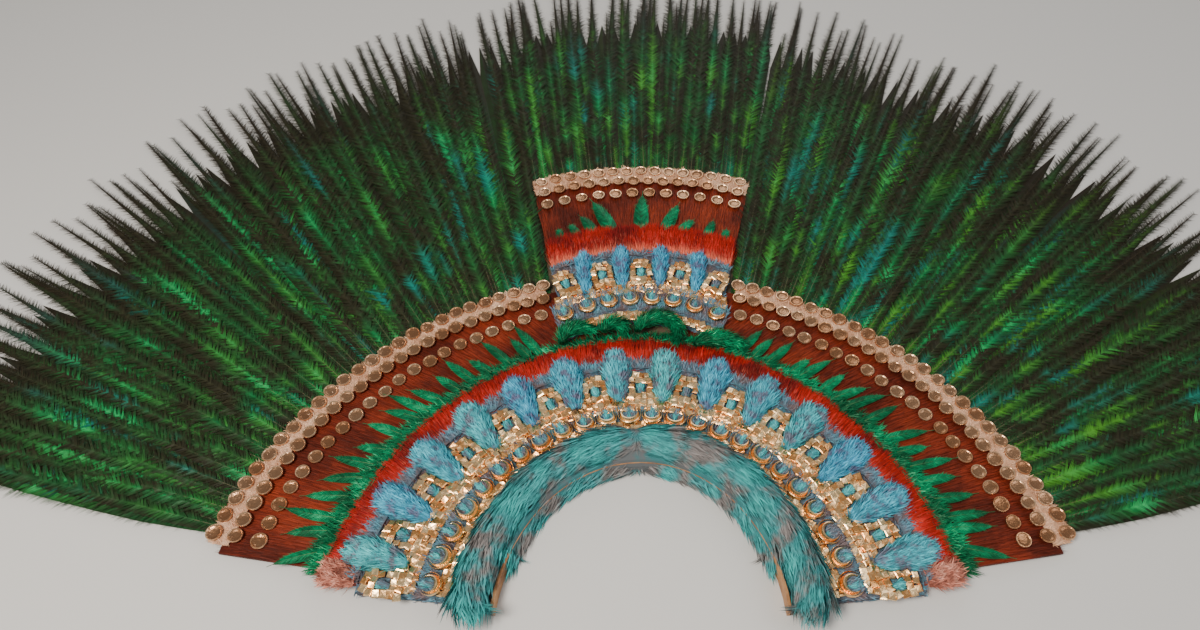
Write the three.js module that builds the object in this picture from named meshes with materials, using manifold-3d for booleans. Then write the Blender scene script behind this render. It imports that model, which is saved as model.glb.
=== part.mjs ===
// A feathered headdress lying on its back. A fan of long green plumes surrounds a semicircular collar made of
// feather bands, rows of thin gold discs, mosaic towers of gold plates and gold crescents, and a crest panel with
// the same bands stands over the middle. The arch at the foot takes the wearer's head.
//
// Units are millimetres. The collar is drawn round the arch centre, with +Y towards the crest's tip, +X to the right
// and +Z out of the front. Angles are in degrees from +Y, positive to the right. At the end the whole group is moved
// so that the origin is at the centre of its own footprint, on the surface that it lies on.
import * as THREE from "three";
import { mergeVertices } from "three/addons/utils/BufferGeometryUtils.js";
import Module from "manifold-3d";

const wasm = await Module();
wasm.setup();

// ---- Driving dimensions ----------------------------------------------------------------------------------------

const GAP = 0.3; // between pieces that lie on or beside each other
const BACKING_THICK = 2.5;
const LAYER_FOOT = BACKING_THICK + GAP; // where the pieces that are sewn to the backing begin
const BROWN_TOP = 7.2; // top of the red-brown feather bands
const BORDER_TOP = 9.2; // top of the pale border that the outer discs are sewn to
const BED_TOP = 13; // top of the gold beds
const BED_FOOT = BED_TOP + GAP; // what is sewn on a gold bed begins here

// The collar's rings are half ellipses round the arch centre: half_width across, rise upwards.
const RINGS = {
  arch: { half_width: 142, rise: 170 },
  band_back: { half_width: 145, rise: 173 },
  backing_edge: { half_width: 145.3, rise: 173.3 },
  roll: { half_width: 166, rise: 193 },
  bed_inner: { half_width: 187, rise: 212 },
  bed_lip: { half_width: 193, rise: 217 },
  crescents: { half_width: 207, rise: 230 },
  towers: { half_width: 254, rise: 266 },
  tuft_foot: { half_width: 242, rise: 254 },
  bed_outer: { half_width: 280, rise: 296 },
  blue_fringe: { half_width: 286, rise: 299 },
  tuft_tip: { half_width: 311, rise: 325 },
  red_inner: { half_width: 281, rise: 297 },
  red_outer: { half_width: 319, rise: 340 },
  green_inner: { half_width: 320, rise: 341 },
  green_outer: { half_width: 337, rise: 347 },
  brown_inner: { half_width: 338, rise: 348 },
  blade_tip: { half_width: 376, rise: 385 },
  disc_inner: { half_width: 398, rise: 398 },
  disc_middle: { half_width: 424, rise: 424 },
  border_inner: { half_width: 427, rise: 427 },
  backing_outer: { half_width: 434, rise: 434 },
  plume_root: { half_width: 436, rise: 436 },
  disc_outer: { half_width: 445, rise: 445 },
  border_outer: { half_width: 457, rise: 457 },
};

const ARCH_STEPS = 30; // flats round the arch, the same on the head band and on the backing's edge

// How far round from the crest each band runs before it ends at the collar's straight foot.
const END_ANGLE = { roll: 86, bed: 84, red: 81.5, green: 80, brown: 79, border: 79, plume: 77.5 };

// The crest panel's bands are arcs round a centre above the arch centre, and it flares towards its top.
const CREST_CENTRE_Y = 220;
const CREST_SIDES = [
  { radius: 150, half_width: 88 },
  { radius: 181, half_width: 107 },
  { radius: 262, half_width: 115 },
  { radius: 310, half_width: 123 },
  { radius: 440, half_width: 155 },
];
const CREST = {
  bed_inner: 150,
  crescents: 181,
  towers: 221,
  tuft_foot: 202,
  bed_outer: 262,
  blue_fringe: 256,
  tuft_tip: 272,
  brown_inner: 262.5,
  red_inner: 270,
  blade_foot: 303,
  blade_foot_outer: 312,
  red_outer: 317,
  disc_inner: 380,
  disc_middle: 404,
  border_inner: 404,
  disc_outer: 424,
  backing_outer: 433,
  plume_root: 433.6,
  border_outer: 438,
};
const CREST_FLANK = 1.6; // kept between the crest panel and the collar's bands and plumes beside it

// The reach of the plumes' tips from the arch centre.
const PLUME_REACH = [
  { angle: 0, reach: 1180 },
  { angle: 14, reach: 1145 },
  { angle: 24, reach: 1096 },
  { angle: 36, reach: 1070 },
  { angle: 50, reach: 1016 },
  { angle: 60, reach: 976 },
  { angle: 68, reach: 948 },
  { angle: 78, reach: 884 },
];
const PLUME_NOTCH = 0.8; // share of the length where neighbouring plumes part
const PLUME_JITTER = 14; // how far single tips fall short, in turn
const PLUME_PROFILE = [
  { share: 0, top: BROWN_TOP - 0.2 },
  { share: 0.06, top: BROWN_TOP - 0.2 },
  { share: 0.3, top: 12 },
  { share: 1, top: 2.5 },
];

const DISC = { radius: 9, rim: 7.4, height: 2, sides: 5, sunk: 0.8 };
const CRESCENT = { radius: 11.5, waist: 6.5, half_sweep: 140, height: 2.5, steps: 5 };
const TOWER = { width: 26, length: 40, height: 5, eye_width: 10, eye_length: 14, eye_depth: 2.5 };

const COLOURS = {
  plume: { color: 0x0b3a22, roughness: 0.45 },
  brown: { color: 0x6e1d0c, roughness: 0.7 },
  pale: { color: 0xd9a98a, roughness: 0.8 },
  gold: { color: 0xd8a25a, roughness: 0.3, metalness: 1 },
  blue: { color: 0x4ab4c4, roughness: 0.7 },
  red: { color: 0xa3180e, roughness: 0.65 },
  green: { color: 0x12804a, roughness: 0.5 },
  cloth: { color: 0x7c6345, roughness: 0.9 },
  leather: { color: 0xb9733f, roughness: 0.65 },
};

// ---- Places ----------------------------------------------------------------------------------------------------

const radians = THREE.MathUtils.degToRad;
const mix = THREE.MathUtils.lerp;

// A value read from a table by linear steps between its rows.
function lookUp(table, key, at, column) {
  const next = Math.max(1, table.findIndex((row) => row[key] >= at));
  const low = table[next - 1];
  const high = table[next];
  return mix(low[column], high[column], (at - low[key]) / (high[key] - low[key]));
}

function onRing(ring, angle) {
  const turn = radians(angle);
  return new THREE.Vector2(ring.half_width * Math.sin(turn), ring.rise * Math.cos(turn));
}

// A point of the crest panel: across runs from -1 at its left side to 1 at its right.
function onCrest(radius, across) {
  const x = across * lookUp(CREST_SIDES, "radius", radius, "half_width");
  return new THREE.Vector2(x, CREST_CENTRE_Y + Math.sqrt(radius * radius - x * x));
}

// Where a round ring passes under the crest panel's side, as an angle.
function flankAngle(ring, flank = CREST_FLANK) {
  const side = lookUp(CREST_SIDES, "radius", 240, "half_width") + flank;
  return THREE.MathUtils.radToDeg(Math.asin(side / ring.half_width));
}

// ---- Solids ----------------------------------------------------------------------------------------------------

function geometryOf(points, triangles) {
  const geometry = new THREE.BufferGeometry();
  geometry.setAttribute("position", new THREE.Float32BufferAttribute(points.flat(), 3));
  return geometry.setIndex(triangles);
}

// A closed sheet over a grid of columns and rows. Its underside is flat, and its upper side follows top(column, row).
// Columns run left to right and rows run outwards.
function sheet({ columns, shares, place, top, foot }) {
  const rows = shares.length - 1;
  const points = [];
  const upper = (column, row) => column * (rows + 1) + row;
  const lower = (column, edge) => (columns + 1) * (rows + 1) + column * 2 + edge;
  for (let column = 0; column <= columns; column++)
    shares.forEach((share, row) => {
      const at = place(column, share);
      points.push([at.x, at.y, top(column, row)]);
    });
  for (let column = 0; column <= columns; column++)
    for (const share of [shares[0], shares[rows]]) {
      const at = place(column, share);
      points.push([at.x, at.y, foot]);
    }
  const triangles = [];
  const quad = (a, b, c, d) => triangles.push(a, b, c, a, c, d);
  for (let column = 0; column < columns; column++) {
    const right = column + 1;
    for (let row = 0; row < rows; row++)
      quad(upper(column, row), upper(right, row), upper(right, row + 1), upper(column, row + 1));
    quad(lower(column, 0), lower(column, 1), lower(right, 1), lower(right, 0));
    quad(lower(column, 0), lower(right, 0), upper(right, 0), upper(column, 0));
    quad(lower(right, 1), lower(column, 1), upper(column, rows), upper(right, rows));
  }
  for (let row = 0; row < rows; row++) {
    triangles.push(lower(0, 0), upper(0, row), upper(0, row + 1));
    triangles.push(lower(columns, 0), upper(columns, row + 1), upper(columns, row));
  }
  triangles.push(lower(0, 0), upper(0, rows), lower(0, 1));
  triangles.push(lower(columns, 0), lower(columns, 1), upper(columns, rows));
  return geometryOf(points, triangles);
}

// A closed solid through sections with equally many points each, which run anticlockwise seen from the last section.
function loft(sections) {
  const count = sections[0].length;
  const triangles = [];
  for (let s = 0; s < sections.length - 1; s++)
    for (let k = 0; k < count; k++) {
      const next = (k + 1) % count;
      const [a, b] = [s * count + k, s * count + next];
      triangles.push(a, b, b + count, a, b + count, a + count);
    }
  const last = (sections.length - 1) * count;
  for (let k = 1; k < count - 1; k++) {
    triangles.push(0, k + 1, k);
    triangles.push(last, last + k, last + k + 1);
  }
  return geometryOf(sections.flat(), triangles);
}

function prism(shape, foot, height, curveSegments = 24) {
  const geometry = new THREE.ExtrudeGeometry(shape, { depth: height, bevelEnabled: false, curveSegments });
  return geometry.translate(0, 0, foot);
}

function polygon(points) {
  return new THREE.Shape(points.map(([x, y]) => new THREE.Vector2(x, y)));
}

// Moves a solid drawn round the origin, with its own +Y outwards, to a place on the collar.
function settle(geometry, at, angle) {
  return geometry.rotateZ(-radians(angle)).translate(at.x, at.y, 0);
}

function manifoldOf(geometry) {
  const bare = geometry.clone();
  bare.deleteAttribute("normal");
  bare.deleteAttribute("uv");
  const merged = mergeVertices(bare, 1e-3);
  const vertProperties = merged.attributes.position.array;
  return new wasm.Manifold(
    new wasm.Mesh({ numProp: 3, vertProperties, triVerts: new Uint32Array(merged.index.array) }),
  );
}

function geometryFrom(manifold) {
  const mesh = manifold.simplify(0.005).getMesh();
  const geometry = new THREE.BufferGeometry();
  geometry.setAttribute("position", new THREE.BufferAttribute(mesh.vertProperties, 3));
  return geometry.setIndex(new THREE.BufferAttribute(mesh.triVerts, 1));
}

function join(geometries) {
  return geometryFrom(geometries.map(manifoldOf).reduce((whole, piece) => whole.add(piece)));
}

function cut(geometry, tools) {
  return geometryFrom(tools.map(manifoldOf).reduce((rest, tool) => rest.subtract(tool), manifoldOf(geometry)));
}

// ---- Pieces ----------------------------------------------------------------------------------------------------

const headdress = new THREE.Group();

function add(name, geometry, look) {
  const mesh = new THREE.Mesh(geometry, new THREE.MeshStandardMaterial(COLOURS[look]));
  mesh.name = name;
  headdress.add(mesh);
}

// A band of feathers as ribs side by side: each rib's middle stands higher and reaches further than its edges.
function ribbedBand({ inner, outer, from, to, ribs, foot, profile, rib_height = 0.5, notch = 1 }) {
  return sheet({
    columns: 2 * ribs,
    shares: profile.map((row) => row.share),
    foot,
    place: (column, share) => {
      const across = column / (2 * ribs);
      const reach = share * (column % 2 ? 1 : notch);
      return inner(across, from, to).lerp(outer(across, from, to), reach);
    },
    top: (column, row) => profile[row].top + (column % 2 ? rib_height : 0),
  });
}

const flat = (top) => [
  { share: 0, top },
  { share: 1, top },
];
const ringLine = (name) => (across, from, to) => onRing(RINGS[name], mix(from, to, across));
const crestLine = (name) => (across, from, to) => onCrest(CREST[name], mix(from, to, across));

function discAt(at, foot) {
  const { radius, rim, height, sides, sunk } = DISC;
  const turned = new THREE.CylinderGeometry(rim, radius, height + sunk, sides).rotateX(Math.PI / 2);
  return turned.translate(at.x, at.y, foot + (height - sunk) / 2);
}

// Evenly spaced places along a line, ends included.
function spread(count, from, to) {
  return Array.from({ length: count }, (_, k) => mix(from, to, k / (count - 1)));
}

// The backing: one sheet of cloth under the collar and the crest panel.
function backing() {
  const foot = END_ANGLE.brown;
  const neck = flankAngle(RINGS.backing_outer, 0);
  const outer = (from, to) => spread(14, from, to).map((angle) => onRing(RINGS.backing_outer, angle));
  const top = spread(9, -1, 1).map((side) => onCrest(CREST.backing_outer, side));
  const end = END_ANGLE.roll;
  const inner = spread(ARCH_STEPS + 1, end, -end).map((angle) => onRing(RINGS.backing_edge, angle));
  const outline = new THREE.Shape([...outer(-foot, -neck), ...top, ...outer(neck, foot), ...inner]);
  add("backing_cloth", prism(outline, 0, BACKING_THICK), "cloth");
}

// The leather band that stands round the arch, inside the roll.
function headBand() {
  const end = END_ANGLE.roll;
  const columns = ARCH_STEPS;
  const height = 18;
  const line = (share) => (column) => {
    const angle = mix(-end, end, column / columns);
    return onRing(RINGS.arch, angle).lerp(onRing(RINGS.band_back, angle), share);
  };
  const wall = sheet({
    columns,
    shares: [0, 1],
    foot: 0,
    place: (column, share) => line(share)(column),
    top: () => height,
  });
  add("head_band", wall, "leather");
}

// The roll of soft feathers round the arch, in overlapping locks.
function rimRoll() {
  const locks = 22;
  const sides = 8;
  const half_height = 19;
  const half_width = 19;
  const shrink = 0.86;
  const middle = LAYER_FOOT + half_height;
  const sections = Array.from({ length: locks + 1 }, (_, k) => {
    const angle = mix(-END_ANGLE.roll, END_ANGLE.roll, k / locks);
    const at = onRing(RINGS.roll, angle);
    const turn = radians(angle);
    const swell = k % 2 || k === 0 || k === locks ? shrink : 1;
    return Array.from({ length: sides }, (_, corner) => {
      const round = (2 * Math.PI * corner) / sides;
      const out = half_width * swell * Math.cos(round);
      const up = half_height * swell * Math.sin(round);
      return [at.x + out * Math.sin(turn), at.y + out * Math.cos(turn), middle + up];
    });
  });
  add("rim_roll", loft(sections), "blue");
}

// A crescent that opens outwards, drawn from horn to horn and back.
function crescentShape() {
  const { radius, waist, half_sweep, steps } = CRESCENT;
  const edge = (sweep, reach) => [reach * Math.sin(radians(sweep)), -reach * Math.cos(radians(sweep))];
  const sweeps = spread(steps + 1, -half_sweep, half_sweep);
  const outer = sweeps.map((sweep) => edge(sweep, radius));
  const inner = sweeps.slice(1, -1).map((sweep) => {
    const width = waist * Math.cos(radians((sweep * 90) / half_sweep));
    return edge(sweep, radius - width);
  });
  return polygon([...outer, ...inner.reverse()]);
}

function towerAt(at, angle) {
  const { width, length, height, eye_width, eye_length, eye_depth } = TOWER;
  const sunk = 1;
  const block = new THREE.BoxGeometry(width, length, height + sunk).translate(0, 0, BED_TOP + (height - sunk) / 2);
  const eye = new THREE.BoxGeometry(eye_width, eye_length, 2 * eye_depth).translate(0, 0, BED_TOP + height);
  return settle(cut(block, [eye]), at, angle);
}

// A tuft of soft feathers: narrow at its foot, widest near its tip.
const TUFT_PROFILE = [
  { share: 0, widening: 0, rise: 0.5 },
  { share: 0.7, widening: 1, rise: 1 },
  { share: 1, widening: 0.6, rise: 0.45 },
];

function tuftAt(foot, tip, { foot_width, full_width, height }) {
  const along = tip.clone().sub(foot).normalize();
  const side = new THREE.Vector2(along.y, -along.x);
  const sections = TUFT_PROFILE.map(({ share, widening, rise }) => {
    const at = foot.clone().lerp(tip, share);
    const half = mix(foot_width, full_width, widening) / 2;
    const corner = (across, z) => [at.x + side.x * across, at.y + side.y * across, z];
    const up = BED_FOOT + height * rise;
    return [corner(-half, BED_FOOT), corner(-half * 0.5, up), corner(half * 0.5, up), corner(half, BED_FOOT)];
  });
  return loft(sections);
}

const BED_STEPS = 28;
const TUFT_COUNT = 14;
const TUFT_SPAN = 76.5; // the outermost tufts' angle
const TUFT_ANGLES = spread(TUFT_COUNT, -TUFT_SPAN, TUFT_SPAN);
const TOWER_ANGLES = spread(TUFT_COUNT - 1, -1, 1).map((side) => (side * TUFT_SPAN * (TUFT_COUNT - 2)) / (TUFT_COUNT - 1));

function collarGold() {
  const end = END_ANGLE.bed;
  const lip = 1.6; // the inner row of plates stands this much above the bed
  const ring = (outer, top) =>
    sheet({
      columns: BED_STEPS,
      shares: [0, 1],
      foot: LAYER_FOOT,
      place: (column, share) => {
        const angle = mix(-end, end, column / BED_STEPS);
        return onRing(RINGS.bed_inner, angle).lerp(onRing(RINGS[outer], angle), share);
      },
      top: () => top,
    });
  const towers = TOWER_ANGLES.map((angle) => towerAt(onRing(RINGS.towers, angle), angle));
  add("gold_bed", join([ring("bed_outer", BED_TOP), ring("bed_lip", BED_TOP + lip), ...towers]), "gold");
  spread(24, -81, 81).forEach((angle, k) => {
    const piece = prism(crescentShape(), BED_FOOT, CRESCENT.height);
    const name = "crescent_" + String(k + 1).padStart(2, "0");
    add(name, settle(piece, onRing(RINGS.crescents, angle), angle), "gold");
  });
}

function collarFeathers() {
  const tuft = { foot_width: 13, full_width: 35, height: 11 };
  const fringe = ribbedBand({
    inner: ringLine("blue_fringe"),
    outer: ringLine("tuft_tip"),
    from: -END_ANGLE.red,
    to: END_ANGLE.red,
    ribs: 13,
    foot: BED_FOOT,
    profile: [
      { share: 0, top: BED_FOOT + 4 },
      { share: 1, top: BED_FOOT + 1.5 },
    ],
    notch: 0.5,
  });
  const tufts = TUFT_ANGLES.map((angle) =>
    tuftAt(onRing(RINGS.tuft_foot, angle), onRing(RINGS.tuft_tip, angle), tuft),
  );
  add("blue_tufts", join([fringe, ...tufts]), "blue");
  const red = ribbedBand({
    inner: ringLine("red_inner"),
    outer: ringLine("red_outer"),
    from: -END_ANGLE.red,
    to: END_ANGLE.red,
    ribs: 20,
    foot: LAYER_FOOT,
    profile: [
      { share: 0, top: 12.3 },
      { share: 1, top: 10 },
    ],
    notch: 0.85,
  });
  add("red_collar", red, "red");
}

const TAIL = 5; // the part of a blade's foot that is sewn into its band

// One short green feather: a pointed leaf that lies across the red-brown band.
function bladeAt(at, angle, length, width) {
  const foot = BROWN_TOP + 0.5;
  const thick = 2.2;
  const half = width / 2;
  const leaf = polygon([
    [0, -TAIL],
    [half, length * 0.5],
    [0, length],
    [-half, length * 0.5],
  ]);
  return settle(prism(leaf, foot, thick), at, angle);
}

const BLADE_LEAN = 20; // how far the blades turn from the radius towards the collar's feet
const BLADE_LENGTHS = [49, 40, 46, 34, 48, 38, 44]; // taken in turn

function greenCollar() {
  const ring = ribbedBand({
    inner: ringLine("green_inner"),
    outer: ringLine("green_outer"),
    from: -END_ANGLE.green,
    to: END_ANGLE.green,
    ribs: 18,
    foot: LAYER_FOOT,
    profile: [
      { share: 0, top: 11.5 },
      { share: 1, top: 10.6 },
    ],
    notch: 0.8,
  });
  const blades = [-1, 1].flatMap((side) =>
    spread(14, 21.5, 76).map((angle, k) => {
      const at = onRing(RINGS.green_outer, side * angle);
      const length = BLADE_LENGTHS[k % BLADE_LENGTHS.length];
      return bladeAt(at, side * (angle + BLADE_LEAN), length, 13);
    }),
  );
  add("green_collar", join([ring, ...blades]), "green");
}

// The curled green feathers between the collar and the crest: arcs of a thick flattened bundle.
const CURLS = [
  { x: -74, y: 332, radius: 20, from: 190, to: 40, thick: 15 },
  { x: -32, y: 346, radius: 12, from: 180, to: 0, thick: 15 },
  { x: 20, y: 344, radius: 24, from: 172, to: -35, thick: 17 },
  { x: 90, y: 290, radius: 46, from: 125, to: 52, thick: 17 },
];

function greenCurls() {
  const sides = 5;
  const steps = 6;
  const height = 10;
  CURLS.forEach(({ x, y, radius, from, to, thick }, number) => {
    const sections = spread(steps + 1, from, to).map((angle, k) => {
      const turn = radians(angle);
      const swell = 0.45 + 0.55 * Math.sin((Math.PI * (k + 0.6)) / (steps + 1.2));
      return Array.from({ length: sides }, (_, corner) => {
        const round = (2 * Math.PI * corner) / sides;
        const reach = radius + (thick / 2) * swell * Math.cos(round);
        const up = BED_FOOT + (height / 2) * (1 + Math.sin(round));
        return [x + reach * Math.cos(turn), y + reach * Math.sin(turn), up];
      });
    });
    add("green_curl_" + (number + 1), loft(sections), "green");
  });
}

// The red-brown band with its inner row of discs, and the pale border with the outer two rows.
function brownAndDiscs(side, name) {
  const order = (inner, outer) => (side < 0 ? [-outer, -inner] : [inner, outer]);
  const slanted = (ring) => (across, from, to) => {
    const inner = flankAngle({ half_width: Math.max(RINGS[ring].half_width, 345) });
    const [low, high] = side < 0 ? [from, -inner] : [inner, to];
    return onRing(RINGS[ring], mix(low, high, across));
  };
  const [from, to] = order(0, END_ANGLE.brown);
  const brown = ribbedBand({
    inner: slanted("brown_inner"),
    outer: slanted("backing_outer"),
    from,
    to,
    ribs: 8,
    foot: LAYER_FOOT,
    profile: flat(BROWN_TOP),
    rib_height: 0,
  });
  const row = (ring, count, foot) => {
    const half_disc = THREE.MathUtils.radToDeg(DISC.radius / RINGS[ring].half_width);
    const first = flankAngle(RINGS[ring]) + half_disc;
    return spread(count, first, END_ANGLE.brown - half_disc).map((angle) =>
      discAt(onRing(RINGS[ring], side * angle), foot),
    );
  };
  add("brown_band_" + name, join([brown, ...row("disc_inner", 21, BROWN_TOP)]), "brown");
  const border = ribbedBand({
    inner: slanted("border_inner"),
    outer: slanted("border_outer"),
    from,
    to,
    ribs: 9,
    foot: BROWN_TOP + GAP,
    profile: flat(BORDER_TOP),
    rib_height: 0,
    notch: 0.9,
  });
  const discs = [...row("disc_middle", 25, BORDER_TOP), ...row("disc_outer", 26, BORDER_TOP)];
  add("disc_border_" + name, join([border, ...discs]), "gold");
}

// ---- The crest panel -------------------------------------------------------------------------------------------

const acrossCrest = (radius, x) => x / lookUp(CREST_SIDES, "radius", radius, "half_width");
const crestAngle = (radius, x) => THREE.MathUtils.radToDeg(Math.asin(x / radius));
const CREST_TOWERS_X = [-94, -49, 0, 49, 94];
const CREST_TUFTS_X = [-72, -25, 25, 72];
const CREST_BLADES = [
  { x: -106, lean: -14, length: 22, width: 11 },
  { x: -84, lean: -34, length: 26, width: 12 },
  { x: -62, lean: -30, length: 40, width: 14 },
  { x: -38, lean: -26, length: 66, width: 18 },
  { x: 0, lean: 0, length: 70, width: 18 },
  { x: 32, lean: 22, length: 56, width: 16 },
  { x: 52, lean: 48, length: 32, width: 13 },
  { x: 88, lean: 24, length: 34, width: 12 },
  { x: 110, lean: 20, length: 24, width: 11 },
];

function crest() {
  const bed = ribbedBand({
    inner: crestLine("bed_inner"),
    outer: crestLine("bed_outer"),
    from: -1,
    to: 1,
    ribs: 6,
    foot: LAYER_FOOT,
    profile: flat(BED_TOP),
    rib_height: 0,
  });
  const towers = CREST_TOWERS_X.map((x) =>
    towerAt(onCrest(CREST.towers, acrossCrest(CREST.towers, x)), crestAngle(CREST.towers, x)),
  );
  add("crest_gold_bed", join([bed, ...towers]), "gold");
  spread(8, -93, 93).forEach((x, k) => {
    const at = onCrest(CREST.crescents, acrossCrest(CREST.crescents, x));
    const piece = prism(crescentShape(), BED_FOOT, CRESCENT.height);
    add("crest_crescent_" + (k + 1), settle(piece, at, crestAngle(CREST.crescents, x)), "gold");
  });
  const fringe = ribbedBand({
    inner: crestLine("blue_fringe"),
    outer: crestLine("tuft_tip"),
    from: -1,
    to: 1,
    ribs: 10,
    foot: BED_FOOT,
    profile: flat(BED_FOOT + 2),
    notch: 0.5,
  });
  const tuft = { foot_width: 11, full_width: 16, height: 9 };
  const tufts = CREST_TUFTS_X.map((x) => {
    const foot = onCrest(CREST.tuft_foot, acrossCrest(CREST.tuft_foot, x * 0.95));
    return tuftAt(foot, onCrest(CREST.tuft_tip, acrossCrest(CREST.tuft_tip, x * 1.1)), tuft);
  });
  add("crest_blue_tufts", join([fringe, ...tufts]), "blue");
  const brown = ribbedBand({
    inner: crestLine("brown_inner"),
    outer: crestLine("backing_outer"),
    from: -1,
    to: 1,
    ribs: 4,
    foot: LAYER_FOOT,
    profile: flat(BROWN_TOP),
    rib_height: 0,
  });
  const row = (name, count, foot) =>
    spread(count, -1, 1).map((side) => {
      const radius = CREST[name];
      const reach = 1 - (DISC.radius + 2) / lookUp(CREST_SIDES, "radius", radius, "half_width");
      return discAt(onCrest(radius, side * reach), foot);
    });
  add("crest_brown_band", join([brown, ...row("disc_inner", 12, BROWN_TOP)]), "brown");
  const border = ribbedBand({
    inner: crestLine("border_inner"),
    outer: crestLine("border_outer"),
    from: -1,
    to: 1,
    ribs: 5,
    foot: BROWN_TOP + GAP,
    profile: flat(BORDER_TOP),
    rib_height: 0,
    notch: 0.9,
  });
  const discs = [...row("disc_middle", 14, BORDER_TOP), ...row("disc_outer", 15, BORDER_TOP)];
  add("crest_disc_border", join([border, ...discs]), "gold");
  const blade_strip = ribbedBand({
    inner: crestLine("blade_foot"),
    outer: crestLine("blade_foot_outer"),
    from: -0.96,
    to: 0.96,
    ribs: 4,
    foot: BROWN_TOP + 0.5,
    profile: flat(BROWN_TOP + 1.9),
    rib_height: 0.3,
  });
  const blades = CREST_BLADES.map(({ x, lean, length, width }) => {
    const radius = (CREST.blade_foot + CREST.blade_foot_outer) / 2;
    return bladeAt(onCrest(radius, acrossCrest(radius, x)), lean, length, width);
  });
  add("crest_green_blades", join([blade_strip, ...blades]), "green");
  const red = ribbedBand({
    inner: crestLine("red_inner"),
    outer: crestLine("red_outer"),
    from: -1,
    to: 1,
    ribs: 12,
    foot: BROWN_TOP + 3,
    profile: [
      { share: 0, top: 12 },
      { share: 0.5, top: 15 },
      { share: 1, top: 11.8 },
    ],
    notch: 0.9,
  });
  add("crest_red_fringe", red, "red");
}

// ---- The plumes ------------------------------------------------------------------------------------------------

// One wing of the fan: long plumes side by side, fused along most of their length and parted at their tips.
function plumes(name, { count, root, tip_angles }) {
  const [first, last] = tip_angles;
  // A column's number counted from the crest's middle, so that both sides have the same tips.
  const rank = (column) => (last < 0 ? 2 * count - column : first > 0 ? column : Math.abs(column - count));
  const fan = sheet({
    columns: 2 * count,
    shares: PLUME_PROFILE.map((row) => row.share),
    foot: 0,
    place: (column, share) => {
      const across = column / (2 * count);
      const angle = mix(first, last, across);
      const short = (PLUME_JITTER * ((rank(column) * 5) % 7)) / 7;
      const reach = lookUp(PLUME_REACH, "angle", Math.abs(angle), "reach") - short;
      const tip = new THREE.Vector2(Math.sin(radians(angle)), Math.cos(radians(angle))).multiplyScalar(reach);
      return root(across).lerp(tip, share * (column % 2 ? 1 : PLUME_NOTCH));
    },
    top: (column, row) => PLUME_PROFILE[row].top + (column % 2 && row === 2 ? 1.5 : 0),
  });
  add(name, fan, "plume");
}

function fan() {
  const inner = flankAngle(RINGS.plume_root);
  const outer = END_ANGLE.plume;
  const crest_edge = 12.8;
  const wing = (from, to) => (across) => onRing(RINGS.plume_root, mix(from, to, across));
  plumes("plume_fan_left", { count: 18, root: wing(-outer, -inner), tip_angles: [-outer, -crest_edge - 0.2] });
  plumes("plume_fan_right", { count: 18, root: wing(inner, outer), tip_angles: [crest_edge + 0.2, outer] });
  plumes("crest_plume_fan", {
    count: 10,
    root: (across) => onCrest(CREST.plume_root, mix(-1, 1, across)),
    tip_angles: [-crest_edge, crest_edge],
  });
}

backing();
headBand();
rimRoll();
collarGold();
collarFeathers();
greenCollar();
greenCurls();
brownAndDiscs(-1, "left");
brownAndDiscs(1, "right");
crest();
fan();

const box = new THREE.Box3().setFromObject(headdress);
const middle = box.getCenter(new THREE.Vector3());
headdress.position.set(-middle.x, -middle.y, -box.min.z);

export default headdress;
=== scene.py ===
# The looks of a feathered headdress: long green plumes, feather bands, gold discs, plates and crescents,
# soft tufts and the roll of feathers round the head arch. The part's own frame is in metres: +X across the
# fan, +Y from the head arch to the crest's tip, +Z out of the front. Named sizes and heights are in mm.
import math
import random

import bpy
import numpy as np
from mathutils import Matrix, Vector


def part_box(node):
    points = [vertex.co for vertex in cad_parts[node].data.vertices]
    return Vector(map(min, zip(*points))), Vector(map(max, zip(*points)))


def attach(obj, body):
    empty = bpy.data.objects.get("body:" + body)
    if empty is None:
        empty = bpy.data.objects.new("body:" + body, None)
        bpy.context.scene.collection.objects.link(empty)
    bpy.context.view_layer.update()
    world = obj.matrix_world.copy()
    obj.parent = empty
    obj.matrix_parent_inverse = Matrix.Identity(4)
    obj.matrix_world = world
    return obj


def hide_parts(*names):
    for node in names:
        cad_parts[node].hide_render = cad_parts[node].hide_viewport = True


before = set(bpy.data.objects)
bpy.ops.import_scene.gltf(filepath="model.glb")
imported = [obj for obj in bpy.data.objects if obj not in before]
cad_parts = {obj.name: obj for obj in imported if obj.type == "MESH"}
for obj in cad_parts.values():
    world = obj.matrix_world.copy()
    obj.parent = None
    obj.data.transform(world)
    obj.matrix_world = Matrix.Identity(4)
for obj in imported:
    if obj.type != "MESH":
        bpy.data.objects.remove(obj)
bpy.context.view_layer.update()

MM = 0.001
FLOOR_GAP = 0.0003

# ---- Sizes ---------------------------------------------------------------------------------------

# The collar's rings are half ellipses round the arch centre: across is the half width, rise the height.
RINGS = {
    "arch": (142, 170),
    "band_back": (145, 173),
    "roll": (166, 193),
    "bed_inner": (187, 212),
    "plates_inner": (192, 216),
    "crescents": (207, 230),
    "fluff_inner": (200, 223),
    "fluff_outer": (221, 240),
    "plates_middle": (232, 247),
    "tuft_foot": (242, 254),
    "towers": (254, 266),
    "bed_outer": (280, 296),
    "blue_fringe_end": (299, 312),
    "tuft_tip": (311, 325),
    "red_inner": (281, 297),
    "red_outer": (319, 340),
    "green_inner": (320, 341),
    "green_outer": (337, 347),
    "brown_inner": (338, 348),
    "disc_inner": (398, 398),
    "disc_middle": (424, 424),
    "border_inner": (427, 427),
    "brown_outer": (434, 434),
    "plume_root": (436, 436),
    "disc_outer": (445, 445),
    "border_outer": (453, 453),
}
END_ANGLE = {"roll": 86, "bed": 84, "red": 82.2, "green": 81, "brown": 80.3, "plume": 77.5}
DISC_END = 79

ARCH_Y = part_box("head_band")[1].y - RINGS["band_back"][1] * MM

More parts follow.
